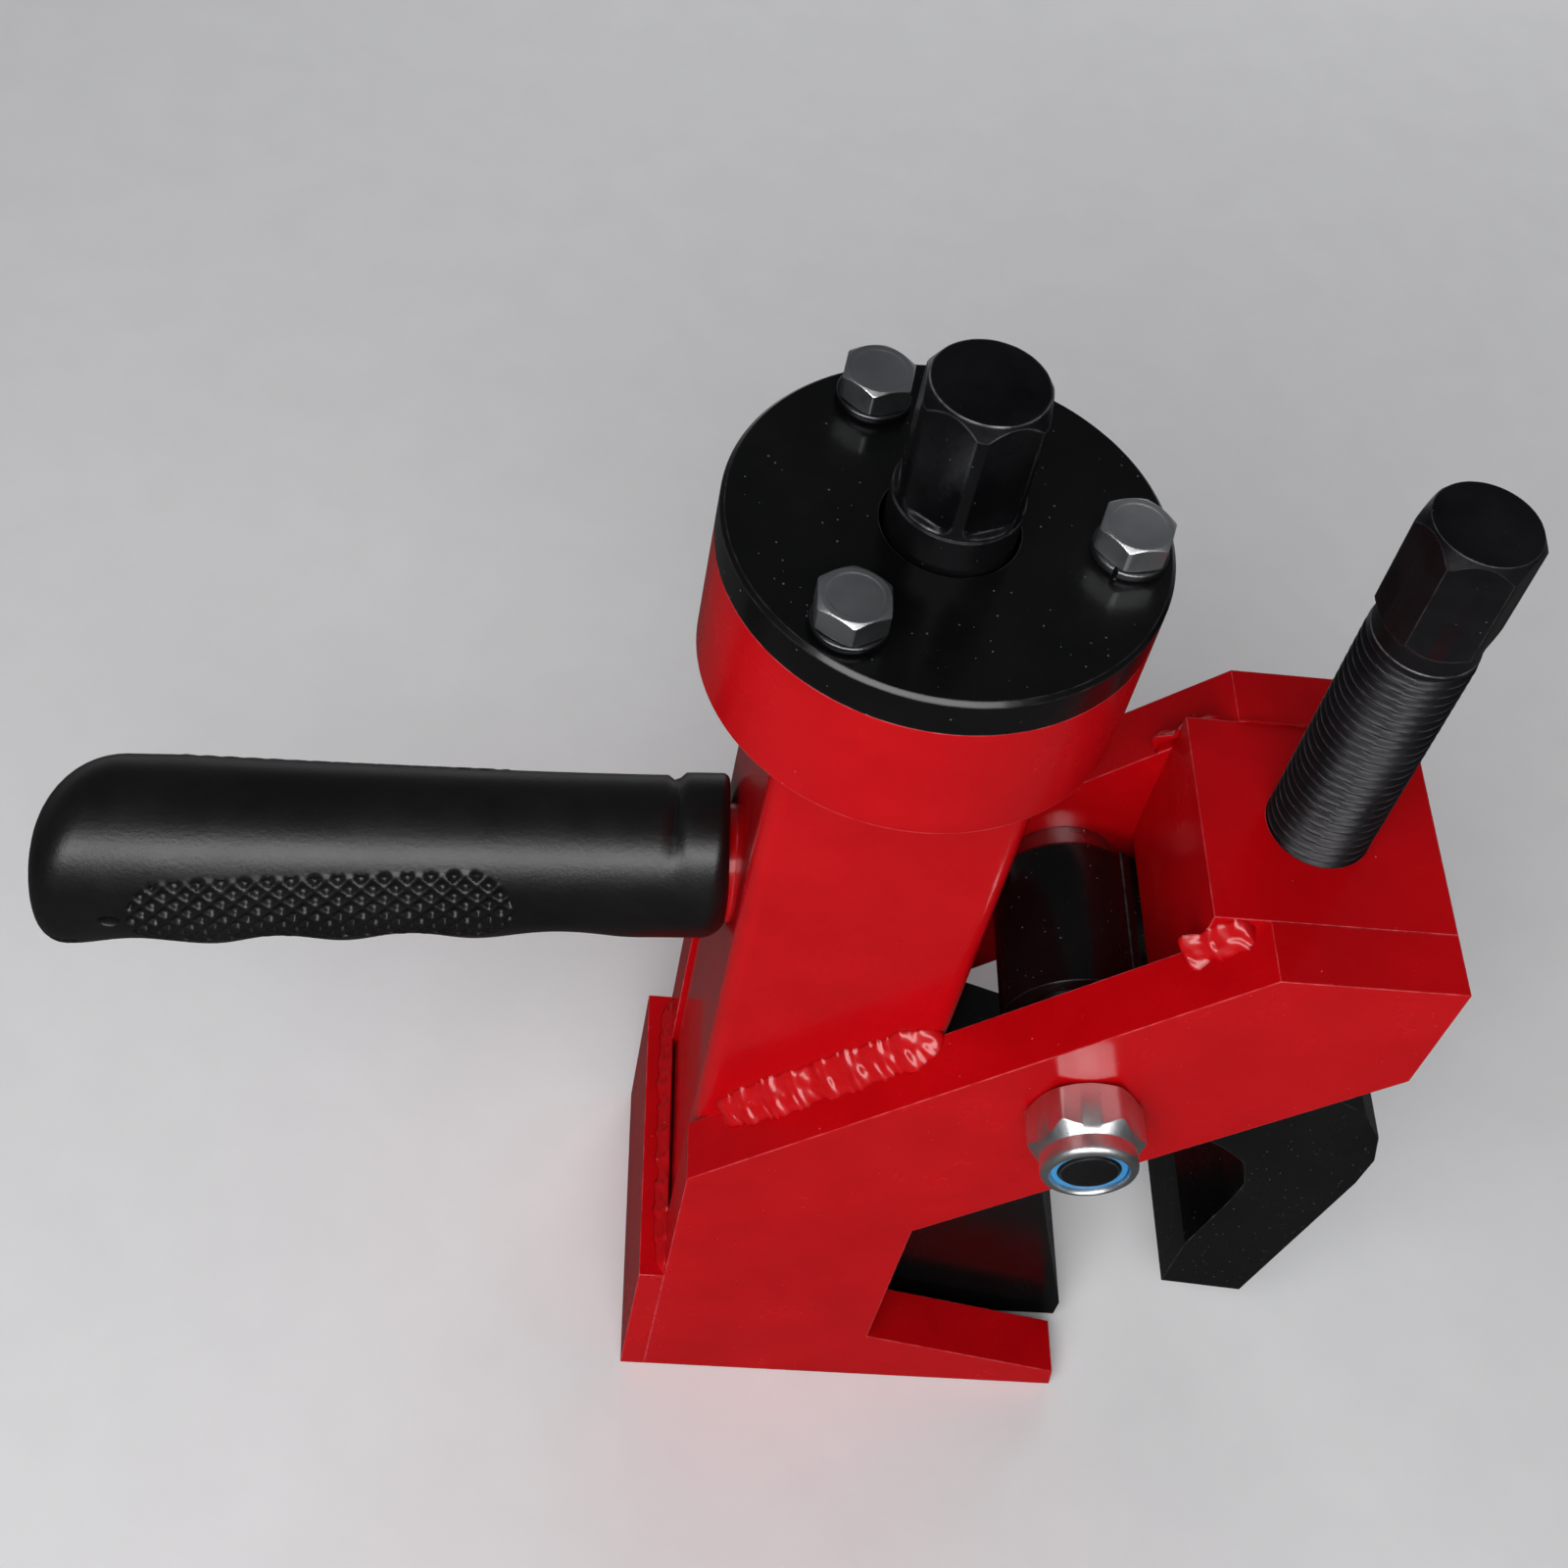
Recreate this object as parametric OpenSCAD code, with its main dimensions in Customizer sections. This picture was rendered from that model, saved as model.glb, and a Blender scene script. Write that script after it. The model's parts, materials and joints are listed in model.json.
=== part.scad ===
// Screw-driven clamp-on tyre bead breaker: a red welded body with a square
// column, a drive screw that pushes a wedge foot down between two toes, and a
// clamp screw that swings a jaw towards the toes.
// Origin: on the floor, under the column's axis. +Z up, +X towards the toes.

/* [Column and head] */
// Outside width of the square column tube
column_w = 50; // [44:0.5:60]
// Wall of the column tube
column_wall = 5; // [4:0.5:6]
// Outside corner radius of the column tube
column_r = 4; // [1:0.5:6]
// Height of the column tube, up to the head ring
column_h = 242; // [225:1:290]
// Outside diameter of the head ring and the cap plate
head_d = 80; // [78:1:90]
// Height of the head ring
ring_h = 28; // [26:1:40]
// Thickness of the cap plate
cap_t = 8; // [6:0.5:12]

/* [Side plates] */
// Thickness of each side plate
plate_t = 14; // [10:0.5:16]
// Angle of the plate's arm above the floor
arm_angle = 43; // [40:1:45]
// Width of the arm, square to its edges
arm_w = 51; // [46:0.5:54]
// Height of the back edge, where the arm's top edge starts
shoulder_h = 104; // [100:1:110]
// Height of the arm's flat top
arm_top_h = 201.5; // [196:0.5:210]
// Reach of the toe in front of the column
toe_reach = 56; // [48:0.5:62]
// Height of the toe at the back of the mouth
toe_root_h = 24; // [18:0.5:30]
// Height of the toe's blunt tip
toe_tip_h = 8; // [4:0.5:12]
// Gap between the column's front and the back of the mouth
mouth_setback = 3.3; // [1:0.1:6]

/* [Heel plate] */
// Thickness of the heel plate
heel_t = 6; // [4:0.5:8]
// Height of the heel plate
heel_h = 53; // [40:1:60]

/* [Clamp block and screw] */
// Distance from the column's axis to the clamp screw's axis
clamp_x = 92; // [88:0.5:96]
// Length of the clamp block along X
block_l = 50; // [46:0.5:52]
// Height of the clamp block
block_h = 42.5; // [36:0.5:43]
// Outside diameter of the clamp screw's thread
clamp_d = 22; // [18:0.5:24]
// How far the clamp screw stands above the block
clamp_stand = 89; // [70:1:110]

/* [Drive screw] */
// Diameter of the smooth shoulder that turns in the cap plate
shoulder_d = 25; // [22:0.5:28]
// Outside diameter of the drive thread
drive_d = 24; // [20:0.5:24]
// Hexagon of both screws, across its flats
hex_af = 21; // [17:0.5:22]
// Length of the hexagon of both screws
hex_l = 25; // [18:0.5:32]
// Height of the shoulder above the cap plate
shoulder_rise = 8; // [5:0.5:12]

/* [Ram and wedge foot] */
// Height of the wedge foot
foot_h = 110; // [90:1:112]
// Length of the ram tube above the foot
ram_l = 122; // [80:1:123]
// Wall of the ram tube
ram_wall = 4.5; // [3:0.5:5]

/* [Jaw lever] */
// Distance from the column's axis to the jaw's pivot
pivot_x = 53; // [51:0.5:55]
// Height of the jaw's pivot
pivot_z = 148; // [146:0.5:149]
// Diameter of the pivot bolt
pivot_d = 14; // [12:1:16]
// Outside diameter of the lever's hub
hub_d = 32; // [28:0.5:33]
// Width of the lever, along its pivot
lever_w = 38; // [34:1:42]
// How far the lever's arm points below the level
lever_drop = 33; // [32:0.5:38]
// Thickness of the jaw at its tip
jaw_t = 22; // [16:0.5:24]

/* [Handle] */
// Height of the handle's axis at the column
handle_z = 174; // [165:1:185]
// How far the handle points below the level
handle_droop = 6; // [0:1:10]
// Outside diameter of the handle tube
handle_d = 25; // [20:0.5:28]
// Length of the rubber grip
grip_l = 140; // [110:1:160]
// Largest diameter of the rubber grip
grip_d = 39; // [34:0.5:44]

/* [Hidden] */
$fn = 64;
eps = 0.02;             // how far a cutting tool passes the face that it opens
fit_clear = 0.05;       // radial clearance of pieces that sit in each other and do not turn
run_clear = 0.05;       // radial clearance of a part that turns in a bore
slide_gap = 0.3;        // gap on each side of a part that slides in a tube
floor_gap = 1;          // the raised foot ends this far above the floor
touch_gap = 0.6;        // rest gap between the clamp nose and the lever
hex_k = 2 / sqrt(3);    // corner-to-corner over across-flats of a hexagon

red = [0.72, 0.01, 0.03];
black = [0.03, 0.03, 0.035];
steel = [0.62, 0.63, 0.65];
zinc = [0.75, 0.76, 0.78];
bronze = [0.70, 0.48, 0.22];
blue = [0.10, 0.35, 0.75];

// Column and head
column_in = column_w - 2 * column_wall;
ring_bore_d = 44;       // counterbore that holds the thrust collar
ring_bore_h = 12.5;
throat_d = drive_d + 3; // hole in the ring's floor
cap_z = column_h + ring_h;
cap_top = cap_z + cap_t;
cap_chamfer = 0.8;

// Cap bolts
bolt_d = 8;
bolt_af = 13;
bolt_head_h = 5.4;
bolt_bevel = 1.2;       // height of the turned-down corners of a bolt's head
bolt_l = 22;
washer_d = 14.8;
washer_t = 2.2;
bolt_count = 3;
bolt_turn = 114;        // direction of the first bolt, from +X
bolt_r = head_d / 2 - 8.7;

// Side plates
plate_in = column_w / 2;
plate_out = plate_in + plate_t;
back_x = -column_w / 2 - 1;
mouth_x = column_w / 2 + mouth_setback;
toe_x = column_w / 2 + toe_reach;
toe_bevel = 1;          // the tip's face leans back by this much
arm_end_x = clamp_x + block_l / 2;
arm_drop_x = arm_w * sin(arm_angle);
arm_drop_z = arm_w * cos(arm_angle);

function arm_top_z(x) = shoulder_h + (x - back_x) * tan(arm_angle);
function arm_low_z(x) = arm_top_z(x - arm_drop_x) - arm_drop_z;

arm_top_x = back_x + (arm_top_h - shoulder_h) / tan(arm_angle);
side_outline = [
    [back_x, 0], [toe_x, 0], [toe_x - toe_bevel, toe_tip_h],
    [mouth_x, toe_root_h], [mouth_x, arm_low_z(mouth_x)],
    [arm_end_x, arm_low_z(arm_end_x)], [arm_end_x, arm_top_h],
    [arm_top_x, arm_top_h], [back_x, shoulder_h]
];

// Wedge foot
foot_w = column_in - 2 * slide_gap;
foot_back = -foot_w / 2;
foot_reach = toe_x + 2.5;
foot_tip_h = 7;
foot_nose_x = column_w / 2 + 38;    // the front face leans out to here
foot_nose_z = 74;
foot_brow_x = column_w / 2 + 27;    // and the brow leans back from here to the column
foot_brow_z = foot_h - 14;
foot_outline = [
    [foot_back, floor_gap], [foot_reach, floor_gap], [foot_reach, floor_gap + foot_tip_h],
    [foot_nose_x, foot_nose_z], [foot_brow_x, foot_brow_z], [foot_w / 2, foot_h],
    [foot_back, foot_h]
];
slot_h = foot_h + 6;    // the column's front is open up to here

// Ram tube and nut
ram_in = foot_w - 2 * ram_wall;
ram_top = foot_h + ram_l;
ram_r = 2;              // outside corner radius of the ram tube
nut_l = 30;
nut_gap = 0.2;          // gap round the nut, filled by its weld

// Drive screw
collar_d = 40;
collar_h = 8;
washer_h = 4;           // thrust washer
drive_end_z = foot_h + 6;
drive_top_z = cap_top + shoulder_rise + hex_l;
collar_z = cap_z - washer_h - collar_h;
journal_z = collar_z + collar_h;
milled_d = shoulder_d - 1.2;    // round bar that the drive hexagon is milled from
hex_bevel = 3.5;        // height of the turned-down corners of both drive hexagons

// Clamp screw
clamp_top_z = arm_top_h + clamp_stand;
clamp_neck_l = 4;
clamp_neck_d = clamp_d - 1.5;
nose_r = 9;             // radius of the clamp nose's ball end
nose_neck_d = 10;
nose_neck_l = 12;
neck_gap = 0.5;         // the neck ends this short of its bore's end

// Lever: its arm is as wide as the hub and slopes down by lever_drop
hub_r = hub_d / 2;
hub_chamfer = 1.5;
hub_washer_d = hub_d - 8;
nose_z = pivot_z + (hub_r + touch_gap + nose_r - (clamp_x - pivot_x) * sin(lever_drop))
    / cos(lever_drop);
clamp_end_z = nose_z + 3;

function lever_top_z(x) = pivot_z + (hub_r - (x - pivot_x) * sin(lever_drop)) / cos(lever_drop);
function lever_low_z(x) = lever_top_z(x) - hub_d / cos(lever_drop);

jaw_x = toe_x + 26;     // inner face of the jaw's tip
jaw_z = 24;             // height of the jaw's tip
jaw_fall = 3;           // the tip's outer corner lies this much lower
hook_z = 46;            // the jaw's inner face is upright up to here
throat_x = jaw_x + 5;   // above that it leans out to the throat
throat_z = 80;
throat_bend = 10;       // the throat's last stretch is this long and steeper
web_step = 6;           // the arm's lower edge turns into the throat over this length
elbow_x = jaw_x + jaw_t + 10;
elbow_z = 96;           // the elbow's back is upright from here
elbow_fall = 12;        // down to this much lower
elbow_r = 10;           // reach of the cut corner above the elbow
lever_outline = [
    [pivot_x, pivot_z],
    [pivot_x - hub_r * sin(lever_drop), pivot_z - hub_r * cos(lever_drop)],
    [jaw_x - web_step, lever_low_z(jaw_x - web_step)],
    [jaw_x + web_step / 4, lever_low_z(jaw_x) - web_step / 2],
    [throat_x, throat_z], [throat_x - throat_bend / 10, throat_z - throat_bend],
    [jaw_x, hook_z], [jaw_x, jaw_z], [jaw_x + jaw_t, jaw_z - jaw_fall],
    [elbow_x - elbow_fall / 24, elbow_z - elbow_fall], [elbow_x, elbow_z],
    [elbow_x - 0.3 * elbow_r, lever_top_z(elbow_x) - 0.4 * elbow_r],
    [elbow_x - elbow_r, lever_top_z(elbow_x - elbow_r)],
    [pivot_x + hub_r * sin(lever_drop), pivot_z + hub_r * cos(lever_drop)]
];

// Pivot bolt and nuts
pivot_af = 22;
pivot_head_h = 8.8;
pivot_bevel = 1.6;      // height of the turned-down corners of its head and nut
lock_nut_h = 11;        // hexagon of the lock nut
lock_collar_h = 5;      // round collar above the hexagon
lock_collar_d = 21;
insert_d = 17.5;        // outside of the locking insert
insert_h = 3;
insert_inset = 1;       // the insert ends this far inside the collar's face
bolt_inset = 0.5;       // the bolt ends this far inside the collar's face
pivot_end = plate_out + lock_nut_h + lock_collar_h - bolt_inset;
insert_y = plate_out + lock_nut_h + lock_collar_h - insert_h - insert_inset;

// Handle and grip
tube_wall = 2.5;
handle_l = 128;         // tube length from the column's axis, under the grip
grip_gap = 1.6;         // gap between the grip and the column
grip_start = column_w / 2 + grip_gap;
grip_small_d = grip_d - 4;
mouth_nip = 4;          // chamfer round the grip's open end
collar_l = 12;          // plain collar at the grip's open end
grip_round = 15;        // radius of the grip's closed end

// A plate outline in the X-Z plane, as thick as w and centred on y
module xz_plate(outline, w, y = 0) {
    translate([0, y + w / 2, 0]) rotate([90, 0, 0]) linear_extrude(w) polygon(outline);
}

// A cylinder along Y from y0 to y1 on the lever's pivot
module pivot_cyl(d, y0, y1, fn = 64) {
    translate([pivot_x, y0, pivot_z]) rotate([-90, 0, 0]) cylinder(d = d, h = y1 - y0, $fn = fn);
}

// A hexagonal prism with its top corners turned down, standing on z = 0
module hex_bar(af, h, bevel) {
    intersection() {
        cylinder(d = af * hex_k, h = h, $fn = 6);
        union() {
            cylinder(d = af * hex_k + 1, h = h - bevel);
            translate([0, 0, h - bevel])
                cylinder(d1 = af * hex_k + 0.4, d2 = af - 1, h = bevel);
        }
    }
}

// A disc or bar on z = 0 with its lower and upper edges chamfered
module chamfered_disc(d, h, low, high) {
    rotate_extrude() polygon([
        [0, 0], [d / 2 - low, 0], [d / 2, low],
        [d / 2, h - high], [d / 2 - high, h], [0, h]
    ]);
}

module at_cap_bolts() {
    for (i = [0 : bolt_count - 1])
        rotate(bolt_turn + i * 360 / bolt_count) translate([bolt_r, 0, 0]) children();
}

// Square tube: outside width, wall, outside corner radius, bottom and top
module square_tube(w, wall, r, z0, z1) {
    difference() {
        translate([0, 0, z0]) linear_extrude(z1 - z0) union() {
            square([w, w - 2 * r], center = true);
            square([w - 2 * r, w], center = true);
            for (x = [-1, 1], y = [-1, 1])
                translate([x * (w / 2 - r), y * (w / 2 - r)]) circle(r = r);
        }
        translate([-w / 2 + wall, -w / 2 + wall, z0 - eps])
            cube([w - 2 * wall, w - 2 * wall, z1 - z0 + 2 * eps]);
    }
}

// Its front wall is cut away below slot_h, where the foot's wedge passes out
module column_tube() {
    color(red) difference() {
        square_tube(column_w, column_wall, column_r, 0, column_h);
        translate([column_in / 2 - eps, -column_w / 2 - eps, -eps])
            cube([column_wall + 2 * eps, column_w + 2 * eps, slot_h + eps]);
    }
}

module head_ring() {
    color(red) difference() {
        translate([0, 0, column_h]) cylinder(d = head_d, h = ring_h);
        translate([0, 0, column_h - eps]) cylinder(d = throat_d, h = ring_h);
        translate([0, 0, cap_z - ring_bore_h]) cylinder(d = ring_bore_d, h = ring_bore_h + eps);
        at_cap_bolts() translate([0, 0, cap_top - bolt_l])
            cylinder(r = bolt_d / 2 + fit_clear, h = bolt_l);
    }
}

module cap_plate() {
    color(black) difference() {
        translate([0, 0, cap_z]) chamfered_disc(head_d, cap_t, 0, cap_chamfer);
        translate([0, 0, cap_z - eps])
            cylinder(r = shoulder_d / 2 + run_clear, h = cap_t + 2 * eps);
        at_cap_bolts() translate([0, 0, cap_z - eps])
            cylinder(r = bolt_d / 2 + fit_clear, h = cap_t + 2 * eps);
    }
}

module cap_bolts() {
    color(zinc) at_cap_bolts() {
        translate([0, 0, cap_top + washer_t - bolt_l + eps])
            cylinder(d = bolt_d, h = bolt_l);
        translate([0, 0, cap_top + washer_t]) hex_bar(bolt_af, bolt_head_h, bolt_bevel);
    }
}

module cap_spring_washers() {
    color(zinc) at_cap_bolts() translate([0, 0, cap_top]) difference() {
        cylinder(d = washer_d, h = washer_t);
        translate([0, 0, -eps]) cylinder(r = bolt_d / 2 + fit_clear, h = washer_t + 2 * eps);
    }
}

// side is -1 for the left plate and 1 for the right one
module side_plate(side) {
    color(red) difference() {
        xz_plate(side_outline, plate_t, side * (plate_in + plate_t / 2));
        pivot_cyl(pivot_d + 2 * fit_clear, -plate_out - eps, plate_out + eps);
    }
}

module heel_plate() {
    color(red) translate([back_x - heel_t, -plate_out, 0]) cube([heel_t, 2 * plate_out, heel_h]);
}

module clamp_block() {
    color(red) difference() {
        translate([clamp_x - block_l / 2, -plate_in, arm_top_h - block_h])
            cube([block_l, 2 * plate_in, block_h]);
        translate([clamp_x, 0, arm_top_h - block_h - eps])
            cylinder(r = clamp_d / 2 + run_clear, h = block_h + 2 * eps);
    }
}

// The handle's own frame: +Z runs out along the grip from the column's axis
module on_handle() {
    translate([0, 0, handle_z]) rotate([0, -90 - handle_droop, 0]) children();
}

module handle_tube() {
    color(red) difference() {
        on_handle() difference() {
            cylinder(d = handle_d, h = handle_l);
            translate([0, 0, -eps]) cylinder(d = handle_d - 2 * tube_wall, h = handle_l + 2 * eps);
        }
        translate([-column_w / 2, -handle_d, handle_z - 2 * handle_d])
            cube([column_w, 2 * handle_d, 4 * handle_d]);
    }
}

// A turned sleeve with a collar at the open end and a rounded closed end
module handle_grip() {
    grip_end = grip_start + grip_l;
    color(black) on_handle() rotate_extrude() difference() {
        union() {
            polygon([[0, grip_start], [grip_small_d / 2 - mouth_nip, grip_start],
                [grip_small_d / 2, grip_start + mouth_nip],
                [grip_small_d / 2, grip_start + collar_l],
                [grip_d / 2, grip_end - 2 * grip_round], [grip_d / 2, grip_end - grip_round],
                [grip_d / 2 - grip_round, grip_end], [0, grip_end]]);
            intersection() {
                translate([grip_d / 2 - grip_round, grip_end - grip_round]) circle(r = grip_round);
                translate([0, grip_start]) square([grip_d, grip_l]);
            }
        }
        translate([0, grip_start - eps])
            square([handle_d / 2 + fit_clear, handle_l - grip_start + fit_clear + eps]);
    }
}

module pivot_bolt() {
    color(zinc) {
        pivot_cyl(pivot_d, -pivot_end, plate_out + eps);
        translate([pivot_x, plate_out, pivot_z]) rotate([-90, 0, 0])
            hex_bar(pivot_af, pivot_head_h, pivot_bevel);
    }
}

// Hexagon against the left plate, then a round collar that holds the insert
module pivot_lock_nut() {
    collar_y = plate_out + lock_nut_h;
    color(zinc) translate([pivot_x, 0, pivot_z]) rotate([90, 0, 0]) difference() {
        union() {
            translate([0, 0, plate_out]) hex_bar(pivot_af, lock_nut_h, pivot_bevel);
            translate([0, 0, collar_y - eps]) cylinder(d = lock_collar_d, h = lock_collar_h + eps);
        }
        translate([0, 0, plate_out - eps])
            cylinder(r = pivot_d / 2 + fit_clear, h = lock_nut_h + lock_collar_h + 1);
        translate([0, 0, insert_y]) cylinder(d = insert_d, h = insert_h + 2 * insert_inset);
    }
}

module lock_nut_insert() {
    color(blue) translate([pivot_x, 0, pivot_z]) rotate([90, 0, 0])
        translate([0, 0, insert_y]) difference() {
            cylinder(d = insert_d, h = insert_h);
            translate([0, 0, -eps])
                cylinder(r = pivot_d / 2 + fit_clear, h = insert_h + 2 * eps);
        }
}

// One spacer washer at each end of the hub
module hub_washers() {
    color(steel) for (side = [-1, 1]) difference() {
        pivot_cyl(hub_washer_d, min(side * plate_in, side * lever_w / 2),
            max(side * plate_in, side * lever_w / 2));
        pivot_cyl(pivot_d + 2 * fit_clear, -plate_out, plate_out);
    }
}

module thrust_washer() {
    color(bronze) translate([0, 0, journal_z]) difference() {
        cylinder(d = collar_d, h = washer_h);
        translate([0, 0, -eps]) cylinder(r = shoulder_d / 2 + run_clear, h = washer_h + 2 * eps);
    }
}

module drive_screw() {
    color(black) {
        translate([0, 0, drive_end_z]) cylinder(d = drive_d, h = collar_z - drive_end_z + eps);
        translate([0, 0, collar_z]) cylinder(d = collar_d, h = collar_h);
        translate([0, 0, journal_z - eps])
            cylinder(d = shoulder_d, h = cap_top + shoulder_rise - journal_z + eps);
        translate([0, 0, cap_top + shoulder_rise - eps]) intersection() {
            hex_bar(hex_af, hex_l + eps, hex_bevel);
            cylinder(d = milled_d, h = hex_l + eps);
        }
    }
}

module ram_tube() {
    color(steel) square_tube(foot_w, ram_wall, ram_r, foot_h, ram_top);
}

module ram_nut() {
    nut_w = ram_in - 2 * nut_gap;
    color(bronze) translate([0, 0, ram_top - nut_l]) difference() {
        translate([-nut_w / 2, -nut_w / 2, 0]) cube([nut_w, nut_w, nut_l]);
        translate([0, 0, -eps]) cylinder(r = drive_d / 2 + run_clear, h = nut_l + 2 * eps);
    }
}

module wedge_foot() {
    color(black) xz_plate(foot_outline, foot_w);
}

module clamp_screw() {
    thread_top = clamp_top_z - hex_l - clamp_neck_l;
    color(black) translate([clamp_x, 0, 0]) difference() {
        union() {
            translate([0, 0, clamp_end_z]) cylinder(d = clamp_d, h = thread_top - clamp_end_z);
            translate([0, 0, thread_top - eps])
                cylinder(d = clamp_neck_d, h = clamp_neck_l + 2 * eps);
            translate([0, 0, clamp_top_z - hex_l]) hex_bar(hex_af, hex_l, hex_bevel);
        }
        translate([0, 0, clamp_end_z - eps])
            cylinder(r = nose_neck_d / 2 + run_clear, h = nose_neck_l + eps);
    }
}

// A ball-ended nose whose neck turns in the screw's end
module clamp_nose() {
    color(steel) translate([clamp_x, 0, 0]) {
        rotate_extrude() intersection() {
            translate([0, nose_z]) circle(r = nose_r);
            translate([0, nose_z - nose_r]) square([nose_r, clamp_end_z - nose_z + nose_r]);
        }
        translate([0, 0, nose_z])
            cylinder(d = nose_neck_d, h = clamp_end_z - nose_z + nose_neck_l - neck_gap);
    }
}

module lever_hub() {
    color(black) difference() {
        translate([pivot_x, -lever_w / 2, pivot_z]) rotate([-90, 0, 0])
            chamfered_disc(hub_d, lever_w, hub_chamfer, hub_chamfer);
        pivot_cyl(pivot_d + 2 * run_clear, -lever_w, lever_w);
    }
}

module jaw_lever() {
    color(black) difference() {
        xz_plate(lever_outline, lever_w);
        pivot_cyl(hub_d + 2 * fit_clear, -lever_w, lever_w);
    }
}

column_tube();
head_ring();
cap_plate();
cap_bolts();
cap_spring_washers();
side_plate(-1);  // side_plate_left
side_plate(1);  // side_plate_right
heel_plate();
clamp_block();
handle_tube();
handle_grip();
pivot_bolt();
pivot_lock_nut();
lock_nut_insert();
hub_washers();
thrust_washer();
drive_screw();
ram_tube();
ram_nut();
wedge_foot();
clamp_screw();
clamp_nose();
lever_hub();
jaw_lever();
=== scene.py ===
# %% [markdown]
# # A screw-driven bead breaker, dressed for the camera
#
# The CAD model gives every plate, screw and pin its true size and place. This
# file loads it as a fixed frame and adds what a maker's eye looks for: threads,
# milled hexagons, weld beads under the paint, a moulded grip, and finishes.
# Places come from the frame, and a size that a box can't tell is named beside
# the piece that needs it.

# %% Load the frame
import json
import math

import bpy
import numpy as np
from mathutils import Matrix, Vector


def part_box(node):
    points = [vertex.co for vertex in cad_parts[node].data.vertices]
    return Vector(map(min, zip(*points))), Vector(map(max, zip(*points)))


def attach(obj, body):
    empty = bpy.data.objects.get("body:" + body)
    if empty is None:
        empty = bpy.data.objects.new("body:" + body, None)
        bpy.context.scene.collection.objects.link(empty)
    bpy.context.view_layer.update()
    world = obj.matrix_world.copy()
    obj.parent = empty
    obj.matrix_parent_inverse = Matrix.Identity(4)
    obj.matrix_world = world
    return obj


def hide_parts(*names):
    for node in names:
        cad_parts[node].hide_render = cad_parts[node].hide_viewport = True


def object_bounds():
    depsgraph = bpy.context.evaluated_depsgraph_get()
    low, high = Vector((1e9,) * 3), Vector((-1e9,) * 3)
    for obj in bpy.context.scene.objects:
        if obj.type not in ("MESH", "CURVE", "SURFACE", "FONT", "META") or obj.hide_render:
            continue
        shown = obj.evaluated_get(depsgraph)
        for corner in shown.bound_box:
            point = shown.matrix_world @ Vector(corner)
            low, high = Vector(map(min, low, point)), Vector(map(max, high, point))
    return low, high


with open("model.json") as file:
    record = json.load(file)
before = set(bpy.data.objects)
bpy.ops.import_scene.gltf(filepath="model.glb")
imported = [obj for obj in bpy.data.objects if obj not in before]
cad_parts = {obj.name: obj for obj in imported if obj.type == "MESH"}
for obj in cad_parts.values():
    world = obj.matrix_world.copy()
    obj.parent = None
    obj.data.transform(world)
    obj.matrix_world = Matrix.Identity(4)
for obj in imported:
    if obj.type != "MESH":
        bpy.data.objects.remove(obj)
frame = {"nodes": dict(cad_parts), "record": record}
cad_low, cad_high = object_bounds()
nodes = frame["nodes"]
print("CAD nodes:", len(nodes), "box", tuple(cad_low), tuple(cad_high))


# %% [markdown]
# ## Places to build from
#
# New pieces are worked out in millimetres, because that is how such a tool is
# drawn. A node's box gives its two corners, and the pieces stand between them.

# %% Sizes taken from the frame
MM = 0.001


def box_mm(node):
    """A CAD node's lowest and highest corner, in millimetres."""
    low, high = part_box(node)
    return np.array(low) / MM, np.array(high) / MM


column_low, column_high = box_mm("column_tube")
ring_low, ring_high = box_mm("head_ring")
cap_low, cap_high = box_mm("cap_plate")
plate_low = box_mm("side_plate_left")[0]
block_low, block_high = box_mm("clamp_block")
drive_low, drive_high = box_mm("drive_screw")
clamp_low, clamp_high = box_mm("clamp_screw")
column_half = column_high[1]
print("column", column_high - column_low, "cap", cap_high - cap_low)


# %% [markdown]
# ## From a grid of points to a solid piece
#
# Each piece is a surface over two parameters: rows run along it and columns run
# round it. One helper turns such a grid into a closed mesh. It joins the last
# column to the first, closes both ends with a fan, and turns all faces outwards
# by the sign of the volume that they enclose, so no piece is ever inside out.

# %% Grid to mesh
def enclosed_volume(points, triangles):
    """A sixth of the sum of a . (b x c) over all triangles: positive when they face outwards."""
    a, b, c = (points[triangles[:, i]] for i in range(3))
    return float((a * np.cross(b, c)).sum() / 6)


def grid_faces(rows, columns, wrap_rows):
    """Four-sided faces between neighbouring rows and columns; columns always wrap."""
    index = np.arange(rows * columns).reshape(rows, columns)
    here = index if wrap_rows else index[:-1]
    above = np.roll(index, -1, axis=0) if wrap_rows else index[1:]
    quads = [here, np.roll(here, -1, axis=1), np.roll(above, -1, axis=1), above]
    return np.stack(quads, axis=-1).reshape(-1, 4)


def end_fans(rows, columns):
    """Triangles from the first and last row to the two poles, which come after all grid points."""
    first = np.arange(columns)
    last = first + (rows - 1) * columns
    pole = np.full(columns, rows * columns)
    low = np.stack([np.roll(first, -1), first, pole], axis=-1)
    high = np.stack([last, np.roll(last, -1), pole + 1], axis=-1)
    return np.vstack([low, high])


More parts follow.
